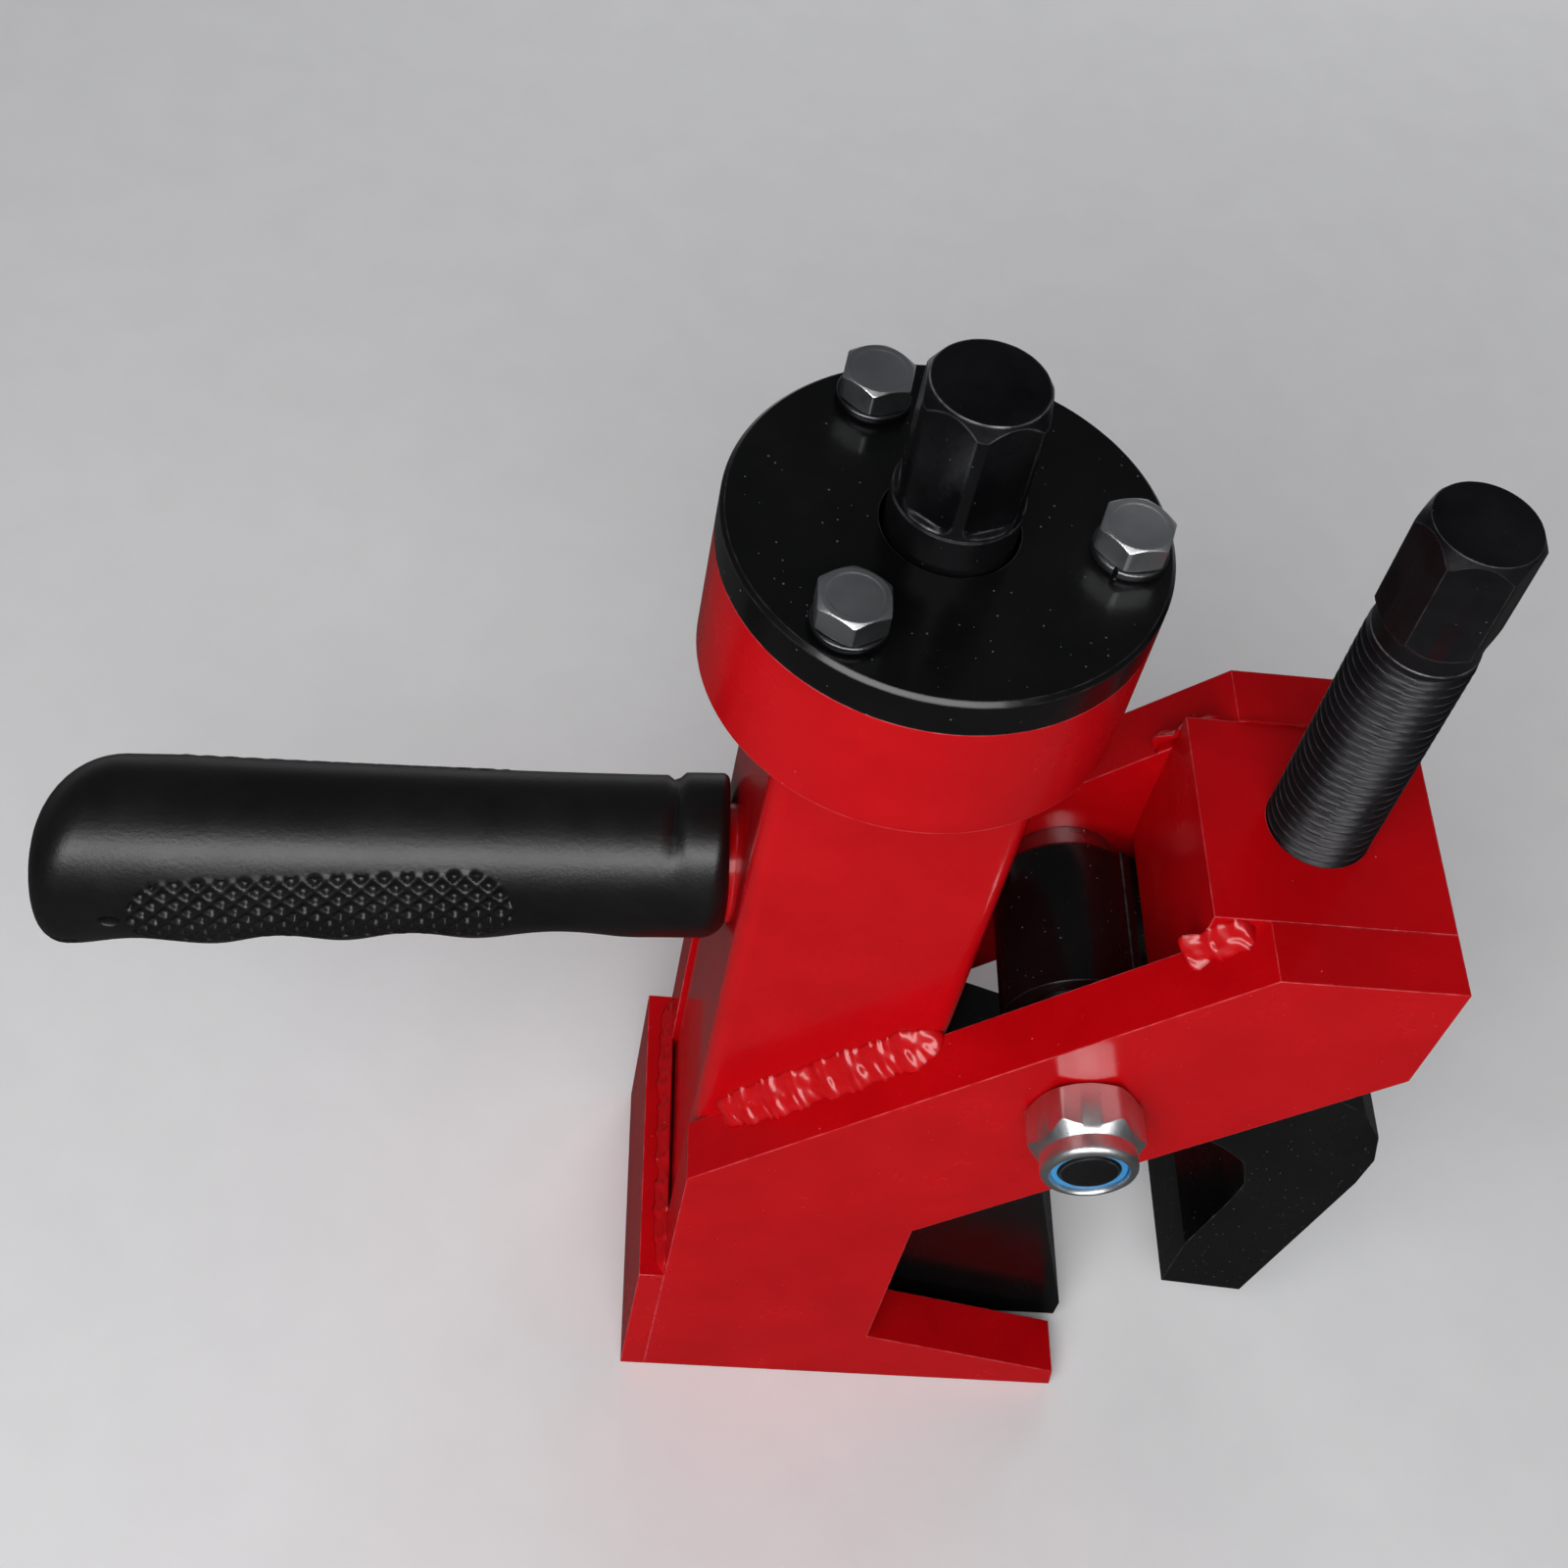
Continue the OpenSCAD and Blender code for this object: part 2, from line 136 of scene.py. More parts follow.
def grid_mesh(name, grid, wrap_rows=False, sharp=35):
    """A closed mesh from a (rows, columns, 3) grid in millimetres. Edges sharper than `sharp`
    degrees stay crisp."""
    rows, columns = grid.shape[:2]
    points = grid.reshape(-1, 3)
    quads = grid_faces(rows, columns, wrap_rows)
    fans = np.zeros((0, 3), int)
    if not wrap_rows:
        points = np.vstack([points, grid[0].mean(axis=0), grid[-1].mean(axis=0)])
        fans = end_fans(rows, columns)
    halves = np.vstack([quads[:, [0, 1, 2]], quads[:, [0, 2, 3]], fans])
    if enclosed_volume(points - points.mean(axis=0), halves) < 0:
        quads, fans = quads[:, ::-1], fans[:, ::-1]
    mesh = bpy.data.meshes.new(name)
    mesh.from_pydata((points * MM).tolist(), [], quads.tolist() + fans.tolist())
    mesh.shade_smooth()
    mesh.set_sharp_from_angle(angle=math.radians(sharp))
    mesh.update()
    return mesh


# %% Put a piece in the scene
def add_piece(name, mesh, body, material, stands_for=()):
    """A new object that rides on a CAD body and takes its place beside the CAD nodes."""
    mesh.materials.append(material)
    piece = bpy.data.objects.new(name, mesh)
    bpy.context.scene.collection.objects.link(piece)
    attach(piece, body)
    if stands_for:
        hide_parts(*stands_for)
    print(f"{name}: {len(mesh.polygons)} faces on {body}")
    return piece


# %% [markdown]
# ## The small effects that the finishes share
#
# Paint, plating and rubber look real through what happens at a scale of
# millimetres: an edge that is a little round, dust that has settled, a film that
# is never quite flat. Each effect is a node group with its own inputs, built
# once here, so that every finish can use it at its own strength.

# %% Start a node group
def new_group(name, inputs, outputs):
    """An empty shader group with named sockets: (kind, name, default) in, (kind, name) out."""
    tree = bpy.data.node_groups.new(name, "ShaderNodeTree")
    for kind, socket, default in inputs:
        made = tree.interface.new_socket(socket, in_out="INPUT", socket_type=f"NodeSocket{kind}")
        made.default_value = default
    for kind, socket in outputs:
        tree.interface.new_socket(socket, in_out="OUTPUT", socket_type=f"NodeSocket{kind}")
    return tree, tree.nodes.new("NodeGroupInput"), tree.nodes.new("NodeGroupOutput")


def wire(tree, source, target):
    """Joins an output socket to an input socket."""
    tree.links.new(source, target)


def feed(tree, source, target):
    """Joins a socket to an input socket, or sets a plain value on it."""
    if isinstance(source, bpy.types.NodeSocket):
        wire(tree, source, target)
    else:
        target.default_value = source


def object_place(tree):
    """Where a point lies on its own object, in metres."""
    return tree.nodes.new("ShaderNodeTexCoord").outputs["Object"]


def math_node(tree, operation, first, second, clamp=False):
    """A Math node; each of its two inputs is a socket or a plain number."""
    node = tree.nodes.new("ShaderNodeMath")
    node.operation, node.use_clamp = operation, clamp
    feed(tree, first, node.inputs[0])
    feed(tree, second, node.inputs[1])
    return node.outputs[0]


def ramp_node(tree, value, low, high, out_low=0.0, out_high=1.0):
    """A clamped Map Range from low..high to out_low..out_high."""
    node = tree.nodes.new("ShaderNodeMapRange")
    for socket, number in zip(list(node.inputs)[:5], (value, low, high, out_low, out_high)):
        feed(tree, number, socket)
    return node.outputs["Result"]


def noise_node(tree, coordinates, scale, detail=2.0, roughness=0.5):
    """A Noise Texture read at the given coordinates."""
    node = tree.nodes.new("ShaderNodeTexNoise")
    node.inputs["Detail"].default_value = detail
    node.inputs["Roughness"].default_value = roughness
    wire(tree, coordinates, node.inputs["Vector"])
    feed(tree, scale, node.inputs["Scale"])
    return node.outputs["Fac"]


def mix_shaders(tree, share, first, second):
    """A Mix Shader between two shader sockets."""
    node = tree.nodes.new("ShaderNodeMixShader")
    for socket, source in zip(node.inputs, (share, first, second)):
        wire(tree, source, socket)
    return node.outputs[0]


# %% Rounded edges: rubbed bare on most finishes, a painted highlight on the red paint
def make_edge_group():
    """Compares the true normal with one averaged over a small radius. They agree on a flat
    and part at an edge, so one minus their dot product is a mask of the edges."""
    tree, given, out = new_group(
        "rounded_edge",
        [("Float", "Radius", 0.0006), ("Float", "Breakup Scale", 300.0)],
        [("Float", "Edge"), ("Vector", "Normal")],
    )
    bevel = tree.nodes.new("ShaderNodeBevel")
    bevel.samples = 6
    wire(tree, given.outputs["Radius"], bevel.inputs["Radius"])
    surface = tree.nodes.new("ShaderNodeNewGeometry")
    dot = tree.nodes.new("ShaderNodeVectorMath")
    dot.operation = "DOT_PRODUCT"
    wire(tree, bevel.outputs["Normal"], dot.inputs[0])
    wire(tree, surface.outputs["Normal"], dot.inputs[1])
    bend = ramp_node(tree, dot.outputs["Value"], 0.995, 0.86)
    breakup = noise_node(tree, object_place(tree), given.outputs["Breakup Scale"], 3.0)
    # Edge mask broken into patches; on the red paint it places a painted highlight as well as rubbed
    # paint.
    rub_and_highlight = math_node(tree, "MULTIPLY", bend, ramp_node(tree, breakup, 0.38, 0.62, 0.25, 1.0))
    wire(tree, rub_and_highlight, out.inputs["Edge"])
    wire(tree, bevel.outputs["Normal"], out.inputs["Normal"])
    return tree


# %% Dust specks
def make_dust_group():
    """Dots at the cell centres of a Voronoi pattern. A cell's random colour decides whether
    it holds a speck at all, so that the specks lie unevenly."""
    tree, given, out = new_group(
        "dust_specks",
        [("Float", "Scale", 900.0), ("Float", "Amount", 0.15), ("Float", "Size", 0.22)],
        [("Float", "Specks")],
    )
    cells = tree.nodes.new("ShaderNodeTexVoronoi")
    wire(tree, object_place(tree), cells.inputs["Vector"])
    wire(tree, given.outputs["Scale"], cells.inputs["Scale"])
    split = tree.nodes.new("ShaderNodeSeparateColor")
    wire(tree, cells.outputs["Color"], split.inputs["Color"])
    chosen = math_node(tree, "LESS_THAN", split.outputs["Red"], given.outputs["Amount"])
    size = math_node(tree, "MULTIPLY", given.outputs["Size"], split.outputs["Green"])
    dot = math_node(tree, "LESS_THAN", cells.outputs["Distance"], size)
    wire(tree, math_node(tree, "MULTIPLY", chosen, dot), out.inputs["Specks"])
    return tree


# %% Waves and grain
MOTTLE_SCALE = 45.0


def make_film_group():
    """Height of a sprayed or moulded skin: slow waves of orange peel plus a fine grain."""
    tree, given, out = new_group(
        "skin_film",
        [("Float", "Peel Scale", 260.0), ("Float", "Grain Scale", 2500.0), ("Float", "Grain", 0.2)],
        [("Float", "Height"), ("Float", "Mottle")],
    )
    place = object_place(tree)
    peel = noise_node(tree, place, given.outputs["Peel Scale"], 1.5, 0.4)
    grain = noise_node(tree, place, given.outputs["Grain Scale"], 2.0, 0.6)
    fine = math_node(tree, "MULTIPLY", grain, given.outputs["Grain"])
    mottle = noise_node(tree, place, MOTTLE_SCALE, 4.0, 0.6)
    wire(tree, math_node(tree, "ADD", peel, fine), out.inputs["Height"])
    wire(tree, mottle, out.inputs["Mottle"])
    return tree


rounded_edge = make_edge_group()
dust_specks = make_dust_group()
skin_film = make_film_group()
print("node groups:", [g.name for g in bpy.data.node_groups])


# %% [markdown]
# ## One recipe for all finishes
#
# Every finish here is a base colour that wanders a little, a paler or barer
# colour at its edges, specks of dust, and a bump that keeps edges soft. On most
# finishes the edge colour is rubbed through; on the red paint it is partly rubbed
# paint and partly a painted highlight, the pale line that rounded edges catch.
# So one function wires the Principled shader, and each finish is a set of
# numbers. What is the same all over is set on the shader's own sockets.

# %% Use a group inside a material
def use_group(tree, group, values):
    """Places a group node and sets its inputs."""
    node = tree.nodes.new("ShaderNodeGroup")
    node.node_tree = group
    for socket, value in values.items():
        node.inputs[socket].default_value = value
    return node


def mix_colour(tree, share, first, second):
    """Mixes two colours by a share; each is a socket or an (r, g, b)."""
    node = tree.nodes.new("ShaderNodeMix")
    node.data_type = "RGBA"
    wire(tree, share, node.inputs["Factor"])
    for socket, value in ((node.inputs[6], first), (node.inputs[7], second)):
        if isinstance(value, bpy.types.NodeSocket):
            wire(tree, value, socket)
        else:
            socket.default_value = (*value, 1.0)
    return node.outputs[2]


# %% The finish recipe
DUST_ROUGHNESS = 0.8


def make_finish(
    name, dark, light, rub_and_highlight, metallic=0.0, rough=(0.2, 0.3), coat=0.0, coat_rough=0.05,
    peel=(260.0, 0.1), grain=(2500.0, 0.2), dust=(900.0, 0.1, 0.2), edge=(0.0005, 0.6),
    dust_colour=(0.55, 0.55, 0.55), specular=0.5,
):
    """peel is scale and bump distance in mm; grain is scale and share; dust is scale, amount
    and size; edge is its radius and how much of the edge colour shows on it. On the red paint
    that edge colour is partly rubbed paint and partly a painted highlight."""
    material = bpy.data.materials.new(name)
    material.use_nodes = True
    tree = material.node_tree
    shader = tree.nodes["Principled BSDF"]
    film = use_group(tree, skin_film, {"Peel Scale": peel[0], "Grain Scale": grain[0], "Grain": grain[1]})
    corner = use_group(tree, rounded_edge, {"Radius": edge[0]})
    specks = use_group(tree, dust_specks, {"Scale": dust[0], "Amount": dust[1], "Size": dust[2]})
    wander = ramp_node(tree, film.outputs["Mottle"], 0.35, 0.65)
    body = mix_colour(tree, wander, dark, light)
    # Edge colour: rubbed edges on most finishes; on the red paint partly rubbed paint, partly a painted
    # highlight.
    rub_and_highlight_share = math_node(tree, "MULTIPLY", corner.outputs["Edge"], edge[1], clamp=True)
    edged = mix_colour(tree, rub_and_highlight_share, body, rub_and_highlight)
    dusty = mix_colour(tree, specks.outputs["Specks"], edged, dust_colour)
    wire(tree, dusty, shader.inputs["Base Color"])
    base_rough = ramp_node(tree, film.outputs["Mottle"], 0.3, 0.7, rough[0], rough[1])
    dust_rough = math_node(tree, "MULTIPLY", specks.outputs["Specks"], DUST_ROUGHNESS)
    wire(tree, math_node(tree, "MAXIMUM", base_rough, dust_rough), shader.inputs["Roughness"])
    bump = tree.nodes.new("ShaderNodeBump")
    bump.inputs["Strength"].default_value = 1.0
    bump.inputs["Distance"].default_value = peel[1] * MM
    wire(tree, film.outputs["Height"], bump.inputs["Height"])
    wire(tree, corner.outputs["Normal"], bump.inputs["Normal"])
    wire(tree, bump.outputs["Normal"], shader.inputs["Normal"])
    shader.inputs["Metallic"].default_value = metallic
    shader.inputs["Coat Weight"].default_value = coat
    shader.inputs["Coat Roughness"].default_value = coat_rough
    shader.inputs["Specular IOR Level"].default_value = specular
    return material


# %% The finishes
RED_DEEP = (0.43, 0.0010, 0.0032)
RED_FULL = (0.50, 0.0016, 0.0045)
# Pale pink for the red paint's edges: partly rubbed paint, partly a painted highlight along the rounded
# edges.
RED_RUB_AND_HIGHLIGHT = (0.85, 0.16, 0.18)
RED_DUST = {"dust": (700.0, 0.05, 0.14), "dust_colour": (0.60, 0.10, 0.10)}

red_enamel = make_finish(
    "red_enamel", RED_DEEP, RED_FULL, RED_RUB_AND_HIGHLIGHT, rough=(0.24, 0.28), coat=0.22, coat_rough=0.07,
    peel=(520.0, 0.03), grain=(1800.0, 0.10), edge=(0.0005, 0.7), specular=0.16, **RED_DUST,
)
rippled_enamel = make_finish(
    "rippled_enamel", RED_DEEP, RED_FULL, RED_RUB_AND_HIGHLIGHT, rough=(0.18, 0.26), coat=0.40, coat_rough=0.06,
    peel=(560.0, 0.09), grain=(1800.0, 0.08), edge=(0.0005, 0.7), specular=0.2, **RED_DUST,
)
bead_enamel = make_finish(
    "bead_enamel", RED_DEEP, RED_FULL, RED_FULL, rough=(0.20, 0.28), coat=0.40, coat_rough=0.10,
    peel=(700.0, 0.03), grain=(1800.0, 0.08), edge=(0.0008, 0.0), specular=0.3, **RED_DUST,
)
black_enamel = make_finish(
    "black_enamel", (0.0024, 0.0025, 0.0027), (0.0045, 0.0045, 0.0048), (0.10, 0.10, 0.11),
    rough=(0.20, 0.30), coat=0.15, coat_rough=0.10, peel=(500.0, 0.03), grain=(2600.0, 0.3),
    dust=(750.0, 0.30, 0.17), edge=(0.0005, 0.6), dust_colour=(0.09, 0.09, 0.09), specular=0.3,
)
black_oxide = make_finish(
    "black_oxide", (0.006, 0.006, 0.007), (0.015, 0.015, 0.017), (0.34, 0.33, 0.37),
    metallic=0.5, rough=(0.24, 0.40), peel=(700.0, 0.03), grain=(3000.0, 0.5),
    dust=(900.0, 0.14, 0.17), edge=(0.0004, 0.6), dust_colour=(0.09, 0.09, 0.08), specular=0.35,
)
bright_zinc = make_finish(
    "bright_zinc", (0.62, 0.64, 0.65), (0.78, 0.80, 0.81), (0.92, 0.93, 0.95),
    metallic=1.0, rough=(0.28, 0.42), peel=(900.0, 0.03), grain=(3200.0, 0.6),
    dust=(1200.0, 0.10, 0.16), edge=(0.0004, 0.9), dust_colour=(0.20, 0.20, 0.19),
)
dull_zinc = make_finish(
    "dull_zinc", (0.10, 0.10, 0.11), (0.18, 0.18, 0.19), (0.75, 0.76, 0.78),
    metallic=1.0, rough=(0.28, 0.40), peel=(900.0, 0.03), grain=(3200.0, 0.6),
    dust=(1200.0, 0.10, 0.16), edge=(0.0003, 0.7), dust_colour=(0.10, 0.10, 0.10),
)
worn_oxide = make_finish(
    "worn_oxide", (0.006, 0.006, 0.007), (0.015, 0.015, 0.017), (0.62, 0.61, 0.66),
    metallic=0.6, rough=(0.20, 0.36), peel=(700.0, 0.03), grain=(3000.0, 0.5),
    dust=(900.0, 0.18, 0.17), edge=(0.0006, 0.95), dust_colour=(0.09, 0.09, 0.08), specular=0.35,
)
turned_steel = make_finish(
    "turned_steel", (0.33, 0.33, 0.34), (0.45, 0.45, 0.46), (0.75, 0.75, 0.76),
    metallic=1.0, rough=(0.24, 0.40), peel=(600.0, 0.03), grain=(2800.0, 0.5),
)
worked_bronze = make_finish(
    "worked_bronze", (0.42, 0.25, 0.10), (0.55, 0.35, 0.16), (0.80, 0.60, 0.35),
    metallic=1.0, rough=(0.25, 0.40), peel=(600.0, 0.03), grain=(2600.0, 0.5),
)
moulded_rubber = make_finish(
    "moulded_rubber", (0.0030, 0.0030, 0.0032), (0.0060, 0.0060, 0.0065), (0.03, 0.03, 0.034),
    rough=(0.32, 0.40), peel=(1100.0, 0.035), grain=(3600.0, 0.9),
    dust=(600.0, 0.05, 0.12), edge=(0.0004, 0.4), dust_colour=(0.08, 0.08, 0.06), specular=0.45,
)
blue_nylon = make_finish(
    "blue_nylon", (0.03, 0.22, 0.50), (0.05, 0.30, 0.62), (0.15, 0.45, 0.75),
    rough=(0.32, 0.42), peel=(900.0, 0.03), grain=(2600.0, 0.4), edge=(0.0003, 0.5),
)
print("finishes:", len([m for m in bpy.data.materials if m.use_nodes]))


# %% [markdown]
# ## Dressing the CAD nodes that stay
#
# Plates, the column, the ring and the lever already have their true shape. Each
# keeps its mesh, and gets its finish by its material slot in the record.

# %% Give each kept node its finish
finish_of_slot = {
    "red_paint": red_enamel, "black_paint": black_enamel, "black_oxide": black_oxide,
    "zinc": bright_zinc, "bare_steel": turned_steel, "bronze": worked_bronze,
    "rubber_grip": moulded_rubber, "nylon": blue_nylon,
}
slot_of_node = {s["node"]: s["material_slot"] for s in frame["record"]["subparts"]}
for name, node in nodes.items():
    node.data.materials.clear()
    node.data.materials.append(finish_of_slot[slot_of_node[name]])
nodes["column_tube"].data.materials[0] = rippled_enamel
print("dressed", len(slot_of_node), "nodes")


# %% [markdown]
# ## Turned and hexagonal pieces
#
# Screws, nuts and bolts are all made round an axis. A profile gives radius and
# height row by row, and on a hexagonal stretch the radius follows the flats. The
# turned-down corners of a hexagon are where its flats meet a cone, which gives
# the scalloped edge, so one row is laid exactly on that curve.

# %% Round and hexagonal rows
def smooth_step(value, low, high):
    """0 below low, 1 above high, and an even S-curve between."""
    share = np.clip((value - low) / (high - low), 0, 1)
    return share * share * (3 - 2 * share)


def turn_angles(count):
    """Angles round the axis, in radians."""
    return np.arange(count) * 2 * math.pi / count


def hexagon_radius(angles, across_flats, turn, bar_radius):
    """Distance to a hexagon's side at each angle: half the width over flats, divided by the
    cosine of the angle from the middle of that flat, and never more than the bar it is cut from."""
    sixth = math.pi / 3
    from_flat = np.mod(angles - turn, sixth) - sixth / 2
    return np.minimum(across_flats / 2 / np.cos(from_flat), bar_radius)


def row(radius, height, count):
    """One row of a turned piece: (radius, height) at each angle, both spread over all angles."""
    return np.stack([np.broadcast_to(radius, count), np.broadcast_to(height, count)])


def profile_rows(profile, count):
    """Rows from pairs of (radius, height), each a number or one value per angle."""
    return [row(radius, height, count) for radius, height in profile]


def turned_grid(rows, centre, axis="z"):
    """Rows of (radius, height) round an axis, as points. axis z stands upright at centre;
    axis -y points to the viewer's side, with height counted from centre."""
    profile = np.array(rows)
    radius, height = profile[:, 0], profile[:, 1]
    angles = turn_angles(radius.shape[1])
    across, up = radius * np.cos(angles), radius * np.sin(angles)
    if axis == "z":
        points = np.stack([across, up, height], axis=-1)
    else:
        points = np.stack([across, -height, up], axis=-1)
    return points + np.array(centre)


# %% Both ends of a hexagon
HEX_AF = 21.0
HEX_LONG = 25.0
END_CONE = math.tan(math.radians(30))
RIM_INSET = 0.35
FACE_INSET = 0.4


def hexagon_top(angles, across_flats, turn, bar_radius, top):
    """The scalloped row where flats meet the end cone, the rim of the flat end face, and a row
    inside it. The scallop lies lower where the hexagon is wider: by the extra radius over the
    cone's slope."""
    count = len(angles)
    rim = across_flats / 2 - RIM_INSET
    side = hexagon_radius(angles, across_flats, turn, bar_radius)
    scallop = top - (side - rim) / END_CONE
    return [row(side, scallop, count), row(rim, top, count), row(rim - FACE_INSET, top, count)]


def milled_foot(angles, across_flats, turn, bar_radius, low, depth, bow):
    """Rows of the run-out that a cutter leaves at the foot of each flat: the radius steps from the
    bar in to the flat over `depth`. The step starts up to `bow` higher towards the edges of a
    flat, by the rise of a rounded corner, so that each run-out is a shallow U."""
    side = hexagon_radius(angles, across_flats, turn, bar_radius)
    middle = np.abs(np.mod(angles - turn, math.pi / 3) - math.pi / 6)
    edge = np.clip(middle / np.arccos(across_flats / 2 / bar_radius), 0, 1)
    start = low + bow * (1 - np.sqrt(1 - edge**6))
    shares = (0.0, 0.12, 0.35, 0.65, 0.88, 1.0)
    swell = [bar_radius - (bar_radius - side) * smooth_step(share, 0, 1) for share in shares]
    rise = [start + depth * share for share in shares]
    return [row(radius, height, len(angles)) for radius, height in zip(swell, rise)]


# %% The milled hexagon of the drive screw
DRIVE_COLUMNS = 288
DRIVE_TURN = math.radians(-97.5)
TIP_RADIUS = 9.5
TIP_LONG = 2.5
STEM_RADIUS = 12.0
SHOULDER_RADIUS = 11.75
BAR_RADIUS = 11.6
MILLED_AF = 20.95
COLLAR_THICK = 8
COLLAR_BELOW_CAP = 4
RUN_OUT_DEPTH = 0.9
RUN_OUT_BOW = 2.6


def make_drive_screw():
    """From below: plain end, thread stretch, thrust collar, shoulder, and a hexagon milled into
    the round bar, with narrow lands left between its flats."""
    angles = turn_angles(DRIVE_COLUMNS)
    low, top = drive_low[2], drive_high[2]
    collar = (drive_high[0] - drive_low[0]) / 2
    collar_top = ring_high[2] - COLLAR_BELOW_CAP
    collar_low = collar_top - COLLAR_THICK
    foot = top - HEX_LONG
    profile = [(TIP_RADIUS, low), (STEM_RADIUS, low + TIP_LONG), (STEM_RADIUS, collar_low)]
    profile += [(collar, collar_low), (collar, collar_top), (SHOULDER_RADIUS, collar_top)]
    profile += [(SHOULDER_RADIUS, foot - 0.6), (BAR_RADIUS, foot - 0.3)]
    rows = profile_rows(profile, DRIVE_COLUMNS)
    rows += milled_foot(angles, MILLED_AF, DRIVE_TURN, BAR_RADIUS, foot + 0.2, RUN_OUT_DEPTH, RUN_OUT_BOW)
    rows += hexagon_top(angles, MILLED_AF, DRIVE_TURN, BAR_RADIUS, top)
    return turned_grid(rows, (0, 0, 0))


add_piece("drive_screw_milled", grid_mesh("drive_screw_milled", make_drive_screw(), sharp=24),
          "drive_screw", worn_oxide, ["drive_screw"])


# %% [markdown]
# ## The clamp screw's thread
#
# A thread is a ridge that climbs one pitch per turn. On a grid round the axis it
# is one formula: the radius depends on height over pitch minus the angle's share
# of a turn. Its crests are flattened and its roots rounded, as a rolled thread's
# are, and it fades into the plain neck under the hexagon.

# %% Thread and hexagon of the clamp screw
PITCH = 2.5
CREST = 11.0
THREAD_DEPTH = 1.25
THREAD_STEPS = 10
THREAD_FADE = 2.5
END_CHAMFER = 2.0
NECK_RADIUS = CREST - 0.55
NECK_LONG = 4
CLAMP_COLUMNS = 90
CLAMP_TURN = math.radians(-131)
CLAMP_BAR = 11.95


def thread_wave(phase):
    """Height of a 60-degree thread over one pitch, from 0 at the root to 1 at the crest: a
    triangle wave whose top and bottom are cut flat."""
    triangle = 1 - np.abs(2 * np.mod(phase, 1) - 1)
    return np.clip((triangle - 0.16) / 0.70, 0, 1)


def make_clamp_screw():
    """Rows up the screw: end chamfer, thread, run-out, neck, the hexagon's lower cone, its flats
    and the end cone."""
    angles = turn_angles(CLAMP_COLUMNS)
    centre = ((clamp_low[0] + clamp_high[0]) / 2, 0, 0)
    low, top = clamp_low[2], clamp_high[2]
    foot = top - HEX_LONG
    thread_top = foot - NECK_LONG
    heights = np.arange(low, thread_top, PITCH / THREAD_STEPS)[:, None]
    phase = heights / PITCH - angles / (2 * math.pi)
    fade = np.clip((thread_top - heights) / THREAD_FADE, 0, 1)
    cut_in = np.clip((heights - low) / END_CHAMFER, 0, 1)
    radius = CREST - 0.3 * (1 - fade) - THREAD_DEPTH * (1 - thread_wave(phase) * cut_in) * fade
    rows = [row(CREST - 3, low, CLAMP_COLUMNS)]
    rows += [row(r, z, CLAMP_COLUMNS) for r, z in zip(radius, heights)]
    profile = [(NECK_RADIUS, thread_top), (NECK_RADIUS, foot), (HEX_AF / 2 - 0.1, foot)]
    rows += profile_rows(profile, CLAMP_COLUMNS)
    side = hexagon_radius(angles, HEX_AF, CLAMP_TURN, CLAMP_BAR)
    rows += [row(side, foot + 0.25 + (side - HEX_AF / 2) * 1.1, CLAMP_COLUMNS)]
    rows += hexagon_top(angles, HEX_AF, CLAMP_TURN, CLAMP_BAR, top)
    return turned_grid(rows, centre)


add_piece("clamp_screw_threaded", grid_mesh("clamp_screw_threaded", make_clamp_screw(), sharp=28),
          "clamp_screw", black_oxide, ["clamp_screw"])


# %% [markdown]
# ## Cap bolts and their spring washers
#
# Three plated bolts hold the cap. A cold-formed head has a turned-down top ring
# and a face that is slightly sunk. Under each lies a split washer, which is a
# square section swept once round with a small rise and a gap.

# %% Bolt heads
BOLT_COUNT = 3
BOLT_TURN = math.radians(114)
BOLT_INSET = 8.7
BOLT_CIRCLE = (cap_high[0] - cap_low[0]) / 2 - BOLT_INSET
BOLT_AF = 12.3
BOLT_SHANK = 4.0
HEAD_TURNS = (20, 28, 12)
WASHER_THICK = 2.2
bolt_low, bolt_high = box_mm("cap_bolts")


def hexagon_head(across_flats, low, top, shank, shank_end, turn, count=96):
    """A bolt from its shank's end up: shank, bearing face, hexagon with both ends turned down,
    top ring, and a face sunk by a tenth of a millimetre and a little more at its middle."""
    angles = turn_angles(count)
    half = across_flats / 2
    side = hexagon_radius(angles, across_flats, turn, half * 1.14)
    profile = [(shank - 0.8, shank_end), (shank, shank_end + 0.8), (shank, low), (half * 0.93, low)]
    profile += [(side, low + 0.15 + (side - half) * 0.35), (side, top - 0.15 - (side - half) * 0.62)]
    profile += [(half * 0.965, top), (half * 0.80, top), (half * 0.77, top - 0.10), (0.5, top - 0.14)]
    return profile_rows(profile, count)


def bolt_angle(number):
    """Where a cap bolt stands on its circle."""
    return BOLT_TURN + number * 2 * math.pi / BOLT_COUNT


def bolt_centre(number):
    """The middle of a cap bolt, seen from above."""
    angle = bolt_angle(number)
    return np.array([BOLT_CIRCLE * math.cos(angle), BOLT_CIRCLE * math.sin(angle), 0.0])


seat = cap_high[2] + WASHER_THICK
for number, degrees in enumerate(HEAD_TURNS):
    turn = math.radians(degrees)
    rows = hexagon_head(BOLT_AF, seat, bolt_high[2], BOLT_SHANK, bolt_low[2], turn)
    mesh = grid_mesh(f"cap_bolt_{number + 1}", turned_grid(rows, bolt_centre(number)), sharp=20)
    add_piece(mesh.name, mesh, "frame", bright_zinc, ["cap_bolts"])


# %% Split spring washers
WASHER_INNER = 4.3
WASHER_OUTER = 6.9
WASHER_RISE = 0.3
WASHER_SWEEP = math.radians(352)
GAP_TURN = -1.9
SQUARENESS = 0.45


def rounded_square(wave):
    """A sine or cosine pushed towards -1 and 1, which squares the circle it would draw."""
    return np.sign(wave) * np.abs(wave) ** SQUARENESS


